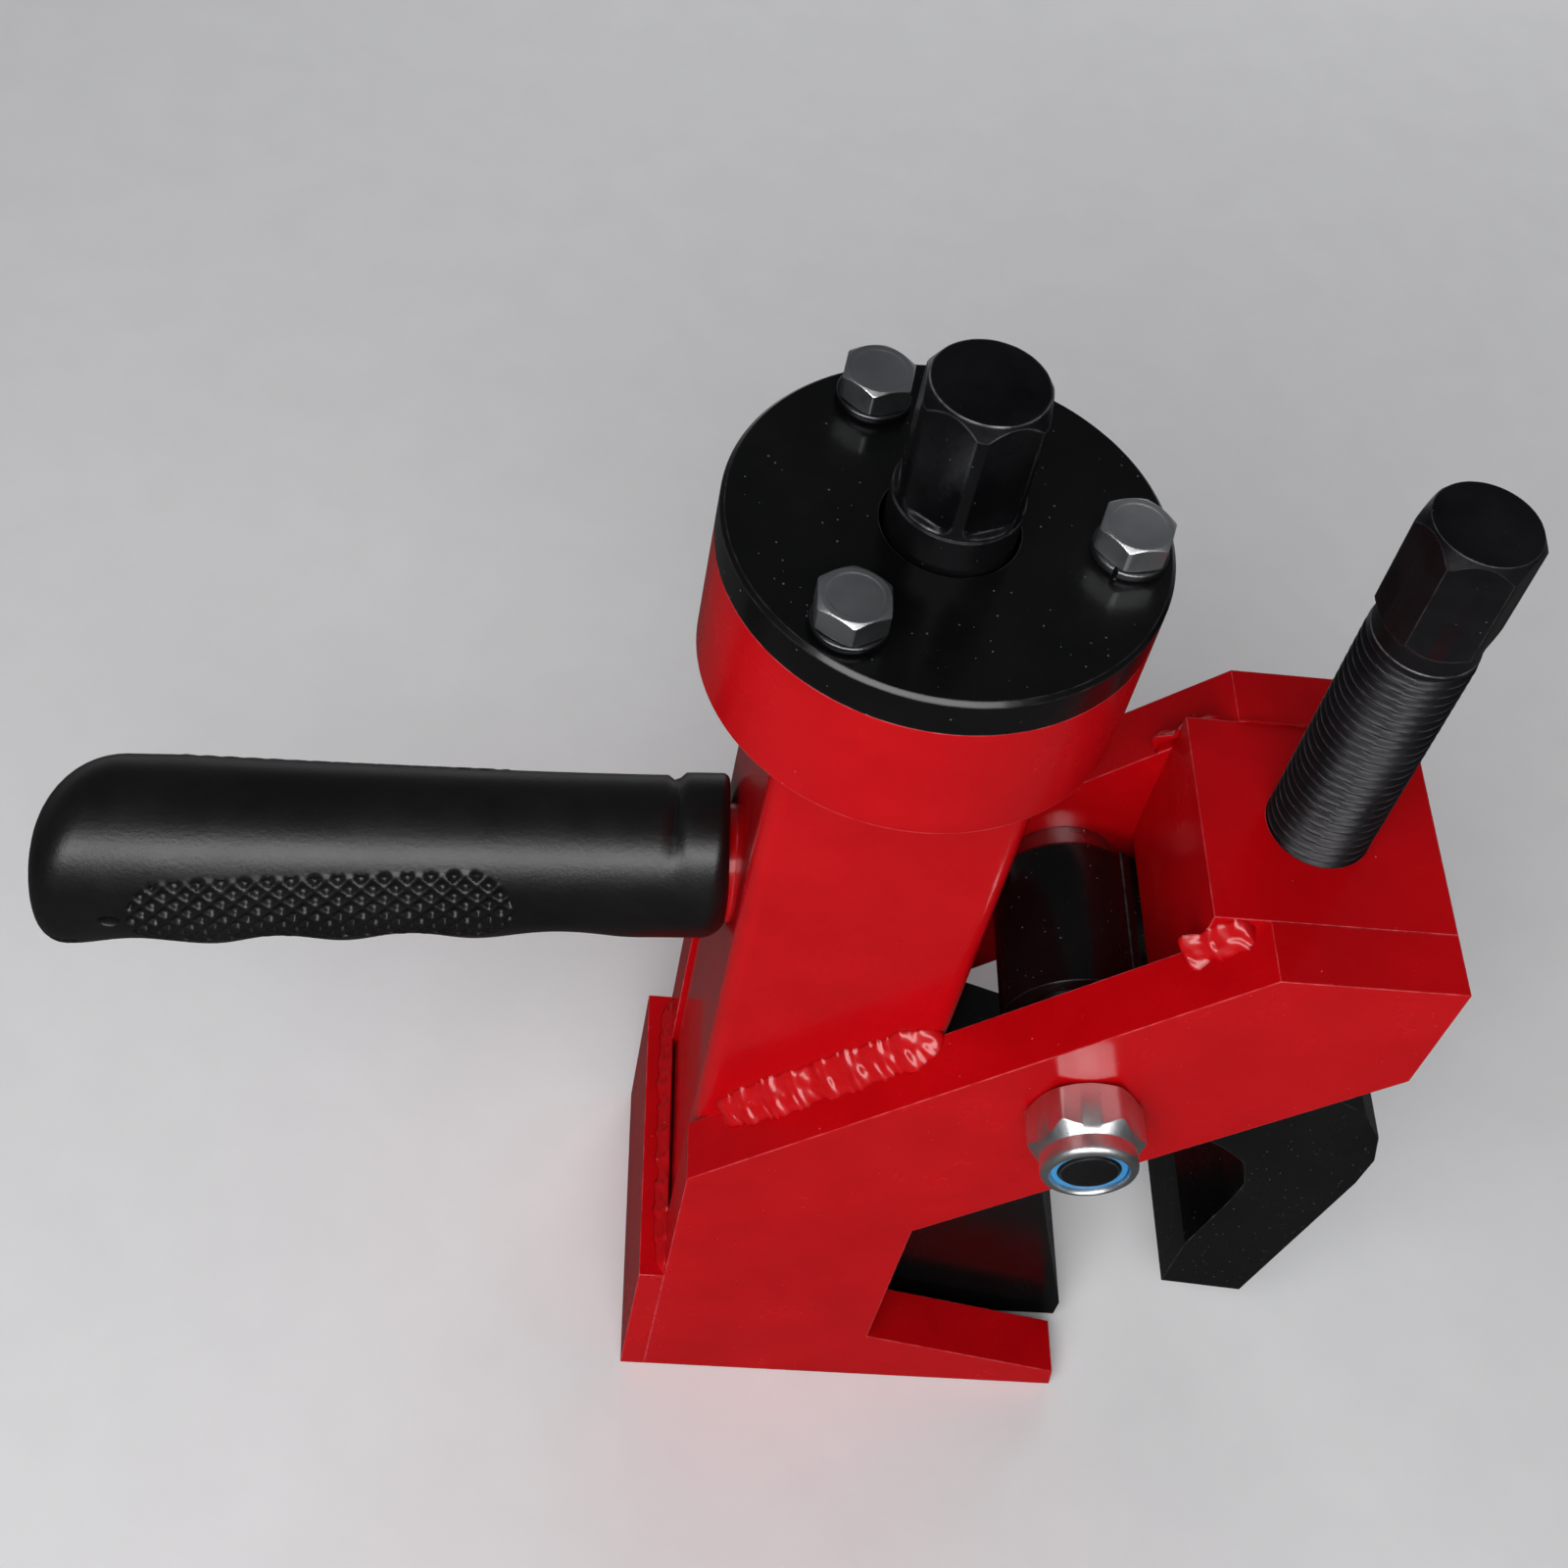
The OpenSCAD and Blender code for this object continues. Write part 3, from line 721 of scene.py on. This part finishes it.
def spring_washer(centre, low, high, gap_angle, steps=72, ring=16):
    """A rounded square section carried once round the bolt, short of a full turn by the gap, and
    rising a third of a millimetre on the way: that is the set of a split washer."""
    around = np.linspace(gap_angle, gap_angle + WASHER_SWEEP, steps)[:, None]
    section = turn_angles(ring)
    rise = WASHER_RISE * (around - gap_angle) / (2 * math.pi)
    thick = (high - low - WASHER_RISE) / 2
    half_wide = (WASHER_OUTER - WASHER_INNER) / 2
    radius = (WASHER_INNER + WASHER_OUTER) / 2 + rounded_square(np.cos(section)) * half_wide
    height = low + thick + rounded_square(np.sin(section)) * thick + rise
    points = np.stack([radius * np.cos(around), radius * np.sin(around), height], axis=-1)
    return points + centre


for number in range(BOLT_COUNT):
    gap_angle = bolt_angle(number) + GAP_TURN
    grid = spring_washer(bolt_centre(number), cap_high[2], seat, gap_angle)
    mesh = grid_mesh(f"spring_washer_{number + 1}", grid, sharp=50)
    add_piece(mesh.name, mesh, "frame", dull_zinc, ["cap_spring_washers"])


# %% [markdown]
# ## The pivot bolt and its lock nut
#
# A lock nut is a hexagon with a rolled collar that grips a nylon ring. The nut
# has a hole, so its profile is a closed loop: up the outside, over the rolled
# rim, and back down the bore.

# %% Lock nut and insert
NUT_TURN = math.radians(8)
NUT_AF = 22.0
HEX_TALL = 11
RIM_ROUND = 1.5
RIM_COLLAR = 10.3
RIM_MOUTH = 8.15
INSERT_DEEP = 4.0
INSERT_OUTER = 8.1
INSERT_BORE = 7.08
NUT_BORE = 7.06
nut_low, nut_high = box_mm("pivot_lock_nut")
pivot_centre = np.array([(nut_low[0] + nut_high[0]) / 2, 0, (nut_low[2] + nut_high[2]) / 2])
near_face, nut_end = -nut_high[1], -nut_low[1]


def make_lock_nut():
    """Rows from the plate outwards, then back inside; heights are distances from the middle
    plane. The rim is a quarter circle from the collar, and a flatter one down into the mouth."""
    count = 120
    angles = turn_angles(count)
    half = NUT_AF / 2
    side = hexagon_radius(angles, NUT_AF, NUT_TURN, half * 1.13)
    shoulder = near_face + HEX_TALL
    rim_low = nut_end - RIM_ROUND
    profile = [(half * 0.92, near_face), (side, near_face + 0.4 + (side - half) * 0.6)]
    profile += [(side, shoulder - 0.9 - (side - half)), (RIM_COLLAR + 0.3, shoulder)]
    profile += [(RIM_COLLAR - 0.1, shoulder + 0.6), (RIM_COLLAR, rim_low)]
    outer_curl, inner_curl = np.radians([20, 45, 70, 90]), np.radians([100, 125, 155])
    profile += [(RIM_COLLAR - RIM_ROUND + RIM_ROUND * math.cos(a), rim_low + RIM_ROUND * math.sin(a))
                for a in outer_curl]
    profile += [(RIM_MOUTH + 0.5 * (1 + math.cos(a)), rim_low + RIM_ROUND * math.sin(a))
                for a in inner_curl]
    profile += [(RIM_MOUTH, rim_low), (RIM_MOUTH, nut_end - INSERT_DEEP)]
    profile += [(NUT_BORE, nut_end - INSERT_DEEP), (NUT_BORE, near_face)]
    return turned_grid(profile_rows(profile, count), pivot_centre, axis="-y")


def make_insert():
    """The nylon ring: its outer edge sits under the rolled rim, and its inner edge is domed."""
    face = nut_end - 1.0
    profile = [(INSERT_OUTER, face - 3), (INSERT_OUTER, face - 0.35), (7.8, face), (6.8, face)]
    profile += [(6.4, face - 0.35), (INSERT_BORE, face - 1.6), (INSERT_BORE, face - 3)]
    return turned_grid(profile_rows(profile, 96), pivot_centre, axis="-y")


lock_nut = grid_mesh("pivot_lock_nut_rolled", make_lock_nut(), wrap_rows=True, sharp=28)
add_piece(lock_nut.name, lock_nut, "frame", bright_zinc, ["pivot_lock_nut"])
insert = grid_mesh("lock_nut_insert_ring", make_insert(), wrap_rows=True, sharp=40)
add_piece(insert.name, insert, "frame", blue_nylon, ["lock_nut_insert"])


# %% The pivot bolt
PIVOT_AF = 22.0
PIVOT_SHANK = 7.0
PIVOT_COLUMNS = 108
PIVOT_TURN = math.radians(5)
pivot_low, pivot_high = box_mm("pivot_bolt")


def make_pivot_bolt():
    """The bolt from its chamfered end to its head: heights run towards the far side, so the
    grid is turned round at the end. The end is a narrower chamfer than hexagon_head gives."""
    end, far_seat = pivot_low[1], -plate_low[1]
    head = hexagon_head(PIVOT_AF, far_seat, pivot_high[1], PIVOT_SHANK, end, PIVOT_TURN, PIVOT_COLUMNS)
    chamfer = profile_rows([(6.05, end + 0.05), (6.15, end + 0.2)], PIVOT_COLUMNS)
    grid = turned_grid(chamfer + head[1:], pivot_centre, axis="-y")
    grid[..., 1] *= -1
    return grid


bolt_mesh = grid_mesh("pivot_bolt_turned", make_pivot_bolt(), sharp=24)
add_piece(bolt_mesh.name, bolt_mesh, "frame", black_oxide, ["pivot_bolt"])


# %% [markdown]
# ## The moulded rubber grip
#
# The grip is a sleeve pushed over a short tube. In its own frame one parameter
# runs along the handle and the other round it. The radius is a sum of a maker's
# simple marks: a slow swell, four finger waves underneath, a panel of small pits
# on each side where the hand holds, a groove behind the collar, and a soft end.

# %% The handle's own frame
HANDLE_DROOP = math.radians(6)
HANDLE_Z = 174.0
GRIP_START, GRIP_END = 25.4, 166.15
CREST_SIDE = math.radians(123)
FINGER_CRESTS = (44.0, 77.5, 104.5, 131.0, 161.0)
along = np.array([-math.cos(HANDLE_DROOP), 0, -math.sin(HANDLE_DROOP)])
over = np.array([-math.sin(HANDLE_DROOP), 0, math.cos(HANDLE_DROOP)])
aside = np.array([0.0, -1.0, 0.0])
handle_root = np.array([0.0, 0.0, HANDLE_Z])


def bump_at(value, centre, half_width):
    """A round-topped hump: one at the centre, nothing beyond half_width."""
    return np.clip(1 - ((value - centre) / half_width) ** 2, 0, 1) ** 2


# %% How thick the grip is
SWELL_START, SWELL_LONG = 36, 104
MOUTH_RADIUS, SWELL = 16.9, 2.75


def grip_radius(station, angle):
    """The sleeve swells slowly from its mouth to its end. It also sits a little off the tube's
    axis, so the radius is a mean plus a shift times the cosine of the angle from the thick side."""
    share = np.clip((station - SWELL_START) / SWELL_LONG, 0, 1)
    mean = MOUTH_RADIUS + SWELL * share**1.6
    shift = 1.2 - 0.4 * share
    return mean - shift * np.cos(angle - CREST_SIDE)


# %% Marks on the grip
PANEL_PITCH = 4.6
PANEL_HALF_LONG, PANEL_HALF_ROUND = 38.5, 9.2
PANEL_AT = 107.5
RIDGE_SLANT = 4.3
RIDGE_HIGH, DIAMOND_DEEP = 0.20, 1.15
WAVE_DEEP = 2.0
GROOVE_AT, GROOVE_DEEP, GROOVE_HALF_LONG = 36.5, 1.2, 1.7
TOP_TURN = 0.6
COLLAR_HIGH = 0.6
HOLE_DEEP = 5.0
VENT = (149.5, math.radians(82), 2.4, 1.6)
SLOT = (161.0, math.radians(111), 3.6, 2.6)


def panel_mask(station, arc):
    """One inside the panel and zero outside: the distance to a stadium, a straight bar with
    round ends, turned into a short ramp."""
    straight = PANEL_HALF_LONG - PANEL_HALF_ROUND
    beyond = np.maximum(np.abs(station - PANEL_AT) - straight, 0)
    distance = np.sqrt(beyond**2 + arc**2)
    return 1 - smooth_step(distance, PANEL_HALF_ROUND - 0.25, PANEL_HALF_ROUND + 0.2)


def diamond_pits(station, arc):
    """Two families of slanting ridges. The depth grows with the distance to the nearest ridge, so
    each diamond between them is a small upside-down pyramid with a blunt bottom."""
    first = station / PANEL_PITCH + arc / RIDGE_SLANT
    second = station / PANEL_PITCH - arc / RIDGE_SLANT
    to_ridge = np.minimum(*(0.5 - np.abs(np.mod(x, 1) - 0.5) for x in (first, second)))
    return np.clip((to_ridge - 0.08) / 0.26, 0, 1)


def hole(station, angle, radius, place):
    """A small moulded hole. place holds its station, its angle, and half its length and width."""
    at, turned, half_long, half_wide = place
    spot = np.hypot((station - at) / half_long, (angle - turned) * radius / half_wide)
    return -HOLE_DEEP * bump_at(spot, 0, 1)


def grip_marks(station, angle):
    """Change of radius, in millimetres, at each station along the grip and angle round it."""
    radius = grip_radius(station, angle)
    panel_angle = np.radians(75 + (station - 78) * 0.09)
    arc = (np.abs(angle) - panel_angle) * radius
    mask = panel_mask(station, arc)
    knurl = mask * (RIDGE_HIGH - DIAMOND_DEEP * diamond_pits(station, arc))
    below = smooth_step(-np.cos(angle), -0.1, 0.9)
    crest_count = np.interp(station, FINGER_CRESTS, range(len(FINGER_CRESTS)))
    waves = -WAVE_DEEP * below * np.sin(math.pi * crest_count) ** 2
    top = np.cos(angle + TOP_TURN)
    groove = -GROOVE_DEEP * bump_at(station, GROOVE_AT, GROOVE_HALF_LONG) * smooth_step(top, 0.25, 0.75)
    crease = -0.22 * bump_at(station, 35.6 + 1.5 * (angle - 0.6), 0.8) * bump_at(angle, 0.7, 0.8)
    collar = COLLAR_HIGH * smooth_step(-station, -37.0, -34.0) * smooth_step(top, -0.1, 0.7)
    holes = hole(station, angle, radius, VENT) + hole(station, angle, radius, SLOT)
    return knurl + waves + groove + crease + collar + holes


# %% The grip's surface
def curled_end(end, edge_round, angle, quarter, outward):
    """Rows round an edge: a quarter circle from the side (quarter 0) to the end face. outward is
    +1 at the closed end and -1 at the mouth; the marks fade out on the way."""
    start = end - outward * edge_round
    station = start + outward * edge_round * np.sin(quarter)
    marks = grip_marks(station, angle) * np.cos(quarter) ** 0.5
    radius = grip_radius(start, angle) - edge_round * (1 - np.cos(quarter)) + marks
    return station, radius


GRIP_COLUMNS = 250
GRIP_ROWS = 290
BORE_RADIUS = 12.55
BORE_END = 127.9


def make_grip():
    """For each angle the radius follows the swell plus the marks. Both ends curl in by a quarter
    circle whose radius depends on the angle: the closed end is rounder above than below, and the
    mouth is cut square above and rounded below. Columns crowd at both sides, and rows over the
    panels, where the pits are."""
    spread = np.linspace(-math.pi, math.pi, GRIP_COLUMNS, endpoint=False)
    angle = spread + 0.30 * np.sin(2 * spread)
    lower = 0.5 + 0.5 * np.cos(angle - CREST_SIDE)
    far_round = 5.0 + 11.5 * (1 - lower) ** 1.3
    near_round = 1.6 + 4.6 * lower**1.6
    side = np.interp(np.linspace(0, 1, GRIP_ROWS), (0, 0.1, 0.93, 1), (0, 0.295, 0.975, 1))[:, None]
    station = GRIP_START + near_round + side * (GRIP_END - far_round - GRIP_START - near_round)
    radius = grip_radius(station, angle) + grip_marks(station, angle)
    quarter = np.linspace(0, math.pi / 2, 14)[1:, None]
    far_station, far_radius = curled_end(GRIP_END, far_round, angle, quarter, 1)
    near_station, near_radius = curled_end(GRIP_START, near_round, angle, quarter[::-1], -1)
    face = np.array([0.6, 0.3])[:, None] * far_radius[-1]
    bore_end, bore_start = np.full(GRIP_COLUMNS, BORE_END), np.full(GRIP_COLUMNS, GRIP_START)
    face_stations = np.repeat(far_station[-1:], 2, axis=0)
    stations = np.vstack([bore_end, bore_start, near_station, station, far_station, face_stations])
    bore = np.full(GRIP_COLUMNS, BORE_RADIUS)
    mouth = np.minimum(bore, near_radius[0] - 0.3)
    radii = np.vstack([bore, mouth, near_radius, radius, far_radius, face])
    upward, sideways = radii * np.cos(angle), radii * np.sin(angle)
    return (handle_root + stations[..., None] * along
            + upward[..., None] * over + sideways[..., None] * aside)


grip_mesh = grid_mesh("handle_grip_moulded", make_grip(), sharp=50)
add_piece(grip_mesh.name, grip_mesh, "frame", moulded_rubber, ["handle_grip"])


# %% [markdown]
# ## Weld beads under the paint
#
# The frame is plate and tube joined by hand-laid beads. A bead fills the corner
# between two faces. Its section is a quarter circle with its back in the corner,
# and it is carried along the corner while its size pulses, which leaves the
# overlapping scales that paint can't hide.

# %% A fillet bead along a corner
def ripple(distance, pitch, skew):
    """A row of scales: each rises slowly and drops fast, so its front edge is the steep one."""
    phase = np.mod(distance / pitch + skew, 1)
    return np.where(phase < 0.78, phase / 0.78, (1 - phase) / 0.22)


def fillet_bead(path, first, second, leg, pitch=3.2, lumps=0.10, ring=22, sink=0.4):
    """Carries a rounded corner section along a path. first and second are the unit directions of
    the two faces away from the corner; the section's angle runs from one to the other, and its
    back lies `sink` inside the corner. Slow sine waves make its width wander, its scales bow
    backwards in the middle, and their height comes and goes, as under a thick coat of paint."""
    steps = np.linalg.norm(np.diff(path, axis=0), axis=1)
    distance = np.concatenate([[0], np.cumsum(steps)])[:, None]
    share = distance / distance[-1]
    swing = np.linspace(0, math.pi / 2, ring - 2)
    bow = 0.34 * np.sin(2 * swing) + 0.25 * np.sin(distance * 0.83)
    wander = 1 + 0.06 * np.sin(distance * 0.9) + 0.05 * np.sin(distance * 0.37 + 1.3)
    taper = np.sqrt(np.clip(1 - (2 * share - 1) ** 8, 0.02, 1))
    strength = lumps * (0.3 + 0.7 * np.sin(distance * 0.31 + 2 * swing) ** 2)
    knots = 0.03 * np.sin(distance * 1.6 + 5 * swing) * np.sin(2 * swing)
    size = leg * wander * taper * (1 - strength + strength * ripple(distance, pitch, bow) + knots)
    reach = size * (0.72 + 0.28 * (1 - np.sin(2 * swing)) ** 0.8)
    along_first, along_second = reach * np.cos(swing), reach * np.sin(swing)
    back = -sink * np.ones_like(share)
    along_first = np.hstack([along_first, back, 0.6 * leg * taper])
    along_second = np.hstack([along_second, 0.6 * leg * taper, back])
    first = np.broadcast_to(first, path.shape)[:, None, :]
    second = np.broadcast_to(second, path.shape)[:, None, :]
    return path[:, None, :] + along_first[..., None] * first + along_second[..., None] * second


def straight_path(start, end, step=0.35):
    """Even points from start to end."""
    start, end = np.array(start, float), np.array(end, float)
    count = max(int(np.linalg.norm(end - start) / step), 8)
    return start + np.linspace(0, 1, count)[:, None] * (end - start)


def add_bead(name, grid):
    """A painted bead on the welded frame."""
    return add_piece(name, grid_mesh(name, grid, sharp=70), "frame", bead_enamel)


# %% Where the beads lie
ARM_ANGLE = math.radians(43)
SHOULDER_Z = 104.0
SIDES = (("near", -1), ("far", 1))
heel_low, heel_high = box_mm("heel_plate")
up, down, back = np.array([0, 0, 1.0]), np.array([0, 0, -1.0]), np.array([-1.0, 0, 0])
up_slope = np.array([-math.sin(ARM_ANGLE), 0, math.cos(ARM_ANGLE)])


def slope_line(start_x, end_x, y):
    """A path up the plates' sloping top edge, from one x to another."""
    ends = [(x, y, SHOULDER_Z + (x - plate_low[0]) * math.tan(ARM_ANGLE)) for x in (start_x, end_x)]
    return straight_path(*ends)


# %% Beads between the plates, the column and the block
for side_name, side in SIDES:
    outwards = np.array([0, side, 0.0])
    corner = slope_line(-19, 23.5, side * column_half)
    bead = fillet_bead(corner, outwards, up_slope, 6.6, pitch=2.7, lumps=0.11)
    add_bead(f"weld_column_{side_name}", bead)
for side_name, side in SIDES:
    outwards = np.array([0, side, 0.0])
    corner = slope_line(block_low[0] - 2.5, block_low[0] + 9.0, side * column_half)
    bead = fillet_bead(corner, outwards, up_slope, 5.2, pitch=4.6, lumps=0.20)
    add_bead(f"weld_block_{side_name}", bead)

# %% Beads along the block's top, at the heel and under the head
seam = straight_path((block_low[0] + 11, column_half, block_high[2]),
                     (block_high[0] - 2, column_half, block_high[2]))
add_bead("weld_seam_far", fillet_bead(seam, np.array([0, 1.0, 0]), up, 0.9, pitch=6.0, lumps=0.2))

heel_line = straight_path((heel_high[0] + 0.2, heel_low[1] + 1, heel_high[2]),
                          (heel_high[0] + 0.2, heel_high[1] - 1, heel_high[2]))
add_bead("weld_heel", fillet_bead(heel_line, back, up, 3.4, pitch=6.5, lumps=0.2))

for face_name, facing in (("front", (1, 0)), ("back", (-1, 0)), ("left", (0, -1)), ("right", (0, 1))):
    out = np.array([*facing, 0.0])
    across = np.array([-out[1], out[0], 0.0]) * (column_half - 3.5)
    corner = out * column_half + up * ring_low[2]
    bead = fillet_bead(straight_path(corner - across, corner + across), out, down, 3.6, 3.6, 0.12)
    add_bead(f"weld_head_{face_name}", bead)


# %% [markdown]
# ## Floor, light and camera
#
# A plain pale floor and soft lamps, as in a small studio. Two lamps hang above:
# one lights the paint, and the other is only seen as a gloss, which draws the
# bright band along the grip. One in front lights the plates, and one behind
# keeps the far side readable. The camera stands where a person looks down on
# the tool, a little rolled, as a hand-held one is.

# %% Floor
BACKDROP = (0.62, 0.62, 0.63, 1)


def dim_in_reflections(material):
    """Mixes in a darker shader where a mirror-like ray meets the floor, so that a pale floor
    doesn't fog glossy dark paint, much as a polarising filter would stop it. Well behind the tool
    the floor stays pale, and draws a thin line along the tops of round parts."""
    tree = material.node_tree
    split = tree.nodes.new("ShaderNodeSeparateXYZ")
    wire(tree, object_place(tree), split.inputs[0])
    dark = tree.nodes.new("ShaderNodeBsdfDiffuse")
    wire(tree, ramp_node(tree, split.outputs["Y"], 0.35, 0.60, 0.09, 0.80), dark.inputs["Color"])
    reflected = tree.nodes.new("ShaderNodeLightPath").outputs["Is Glossy Ray"]
    plain = tree.nodes["Principled BSDF"].outputs[0]
    mixed = mix_shaders(tree, reflected, plain, dark.outputs[0])
    wire(tree, mixed, tree.nodes["Material Output"].inputs["Surface"])


def fade_to_backdrop(material):
    """Shows the camera the backdrop's colour in place of the floor beyond the reach of the lamps:
    none of it 1.1 m from the tool, and all of it from 2.2 m."""
    tree = material.node_tree
    surface = tree.nodes["Material Output"].inputs["Surface"]
    reach = tree.nodes.new("ShaderNodeVectorMath")
    reach.operation = "LENGTH"
    wire(tree, object_place(tree), reach.inputs[0])
    far = ramp_node(tree, reach.outputs["Value"], 1.1, 2.2)
    seen = tree.nodes.new("ShaderNodeLightPath").outputs["Is Camera Ray"]
    backdrop = tree.nodes.new("ShaderNodeEmission")
    backdrop.inputs["Color"].default_value = BACKDROP
    share = math_node(tree, "MULTIPLY", far, seen)
    wire(tree, mix_shaders(tree, share, surface.links[0].from_socket, backdrop.outputs[0]), surface)


def make_floor():
    """A wide plain sheet, barely below the model's lowest point, with a faint grain."""
    half = 3.0
    z = cad_low[2] - 0.0002
    corners = [(x * half, y * half, z) for x, y in ((-1, -1), (1, -1), (1, 1), (-1, 1))]
    mesh = bpy.data.meshes.new("studio_floor")
    mesh.from_pydata(corners, [], [(0, 1, 2, 3)])
    material = make_finish(
        "pale_floor", (0.80, 0.80, 0.81), (0.82, 0.82, 0.83), (0.82, 0.82, 0.83),
        rough=(0.75, 0.85), peel=(60.0, 0.1), grain=(900.0, 0.2), dust=(400.0, 0.0, 0.1),
    )
    dim_in_reflections(material)
    fade_to_backdrop(material)
    mesh.materials.append(material)
    floor = bpy.data.objects.new("studio_floor", mesh)
    bpy.context.scene.collection.objects.link(floor)
    return floor


make_floor()


# %% Lamps
LAMPS = (
    ("key_above", (-0.25, -0.60, 0.98), (1.0, 0.4), 6.4, "glossy"),
    ("gloss_band", (-0.12, -0.66, 0.93), (1.3, 0.42), 12.0, "diffuse"),
    ("front_soft", (-0.38, -1.10, 0.60), (0.9, 0.5), 8.6, "glossy"),
    ("rear_soft", (0.30, 1.25, 0.60), (1.2, 0.5), 6.5, "glossy"),
)
aim = Vector((0.02, 0.0, 0.15))


def add_lamp(name, place, size, watts, unseen):
    """An area lamp at place, facing the tool, and left out of glossy or of diffuse light."""
    light = bpy.data.lights.new(name, "AREA")
    light.shape, light.size, light.size_y = "RECTANGLE", size[0], size[1]
    light.energy = watts
    lamp = bpy.data.objects.new(name, light)
    lamp.location = place
    lamp.rotation_euler = (aim - Vector(place)).to_track_quat("-Z", "Y").to_euler()
    lamp.visible_glossy = unseen != "glossy"
    lamp.visible_diffuse = unseen != "diffuse"
    bpy.context.scene.collection.objects.link(lamp)


for lamp_values in LAMPS:
    add_lamp(*lamp_values)
print("lamps:", len(LAMPS))


# %% Sky and backdrop
def make_world():
    """A dim even sky to light by, and a pale backdrop where the camera looks past the floor."""
    world = bpy.data.worlds.new("studio")
    world.use_nodes = True
    tree = world.node_tree
    sky = tree.nodes["Background"]
    sky.inputs["Color"].default_value = (0.84, 0.86, 0.92, 1)
    sky.inputs["Strength"].default_value = 0.08
    backdrop = tree.nodes.new("ShaderNodeBackground")
    backdrop.inputs["Color"].default_value = BACKDROP
    seen = tree.nodes.new("ShaderNodeLightPath").outputs["Is Camera Ray"]
    mixed = mix_shaders(tree, seen, sky.outputs[0], backdrop.outputs[0])
    wire(tree, mixed, tree.nodes["World Output"].inputs["Surface"])
    return world


bpy.context.scene.world = make_world()
bpy.context.scene.view_settings.view_transform = "Standard"


# %% Camera
camera_place = Vector((-0.0697, -0.2681, 0.5545))
look = Vector((0.116, 0.599, -0.792)).normalized()
camera_right = Vector((0.990, -0.005, 0.142))
camera_right = (camera_right - look * camera_right.dot(look)).normalized()
camera_up = camera_right.cross(look)
lens = bpy.data.cameras.new("camera")
lens.sensor_width, lens.lens = 36.0, 51.75
lens.clip_start, lens.clip_end = 0.01, 20.0
camera = bpy.data.objects.new("camera", lens)
turn = Matrix((camera_right, camera_up, -look)).transposed()
camera.matrix_world = Matrix.Translation(camera_place) @ turn.to_4x4()
bpy.context.scene.collection.objects.link(camera)
bpy.context.scene.camera = camera
print("camera at", tuple(camera_place), "looking", tuple(look))
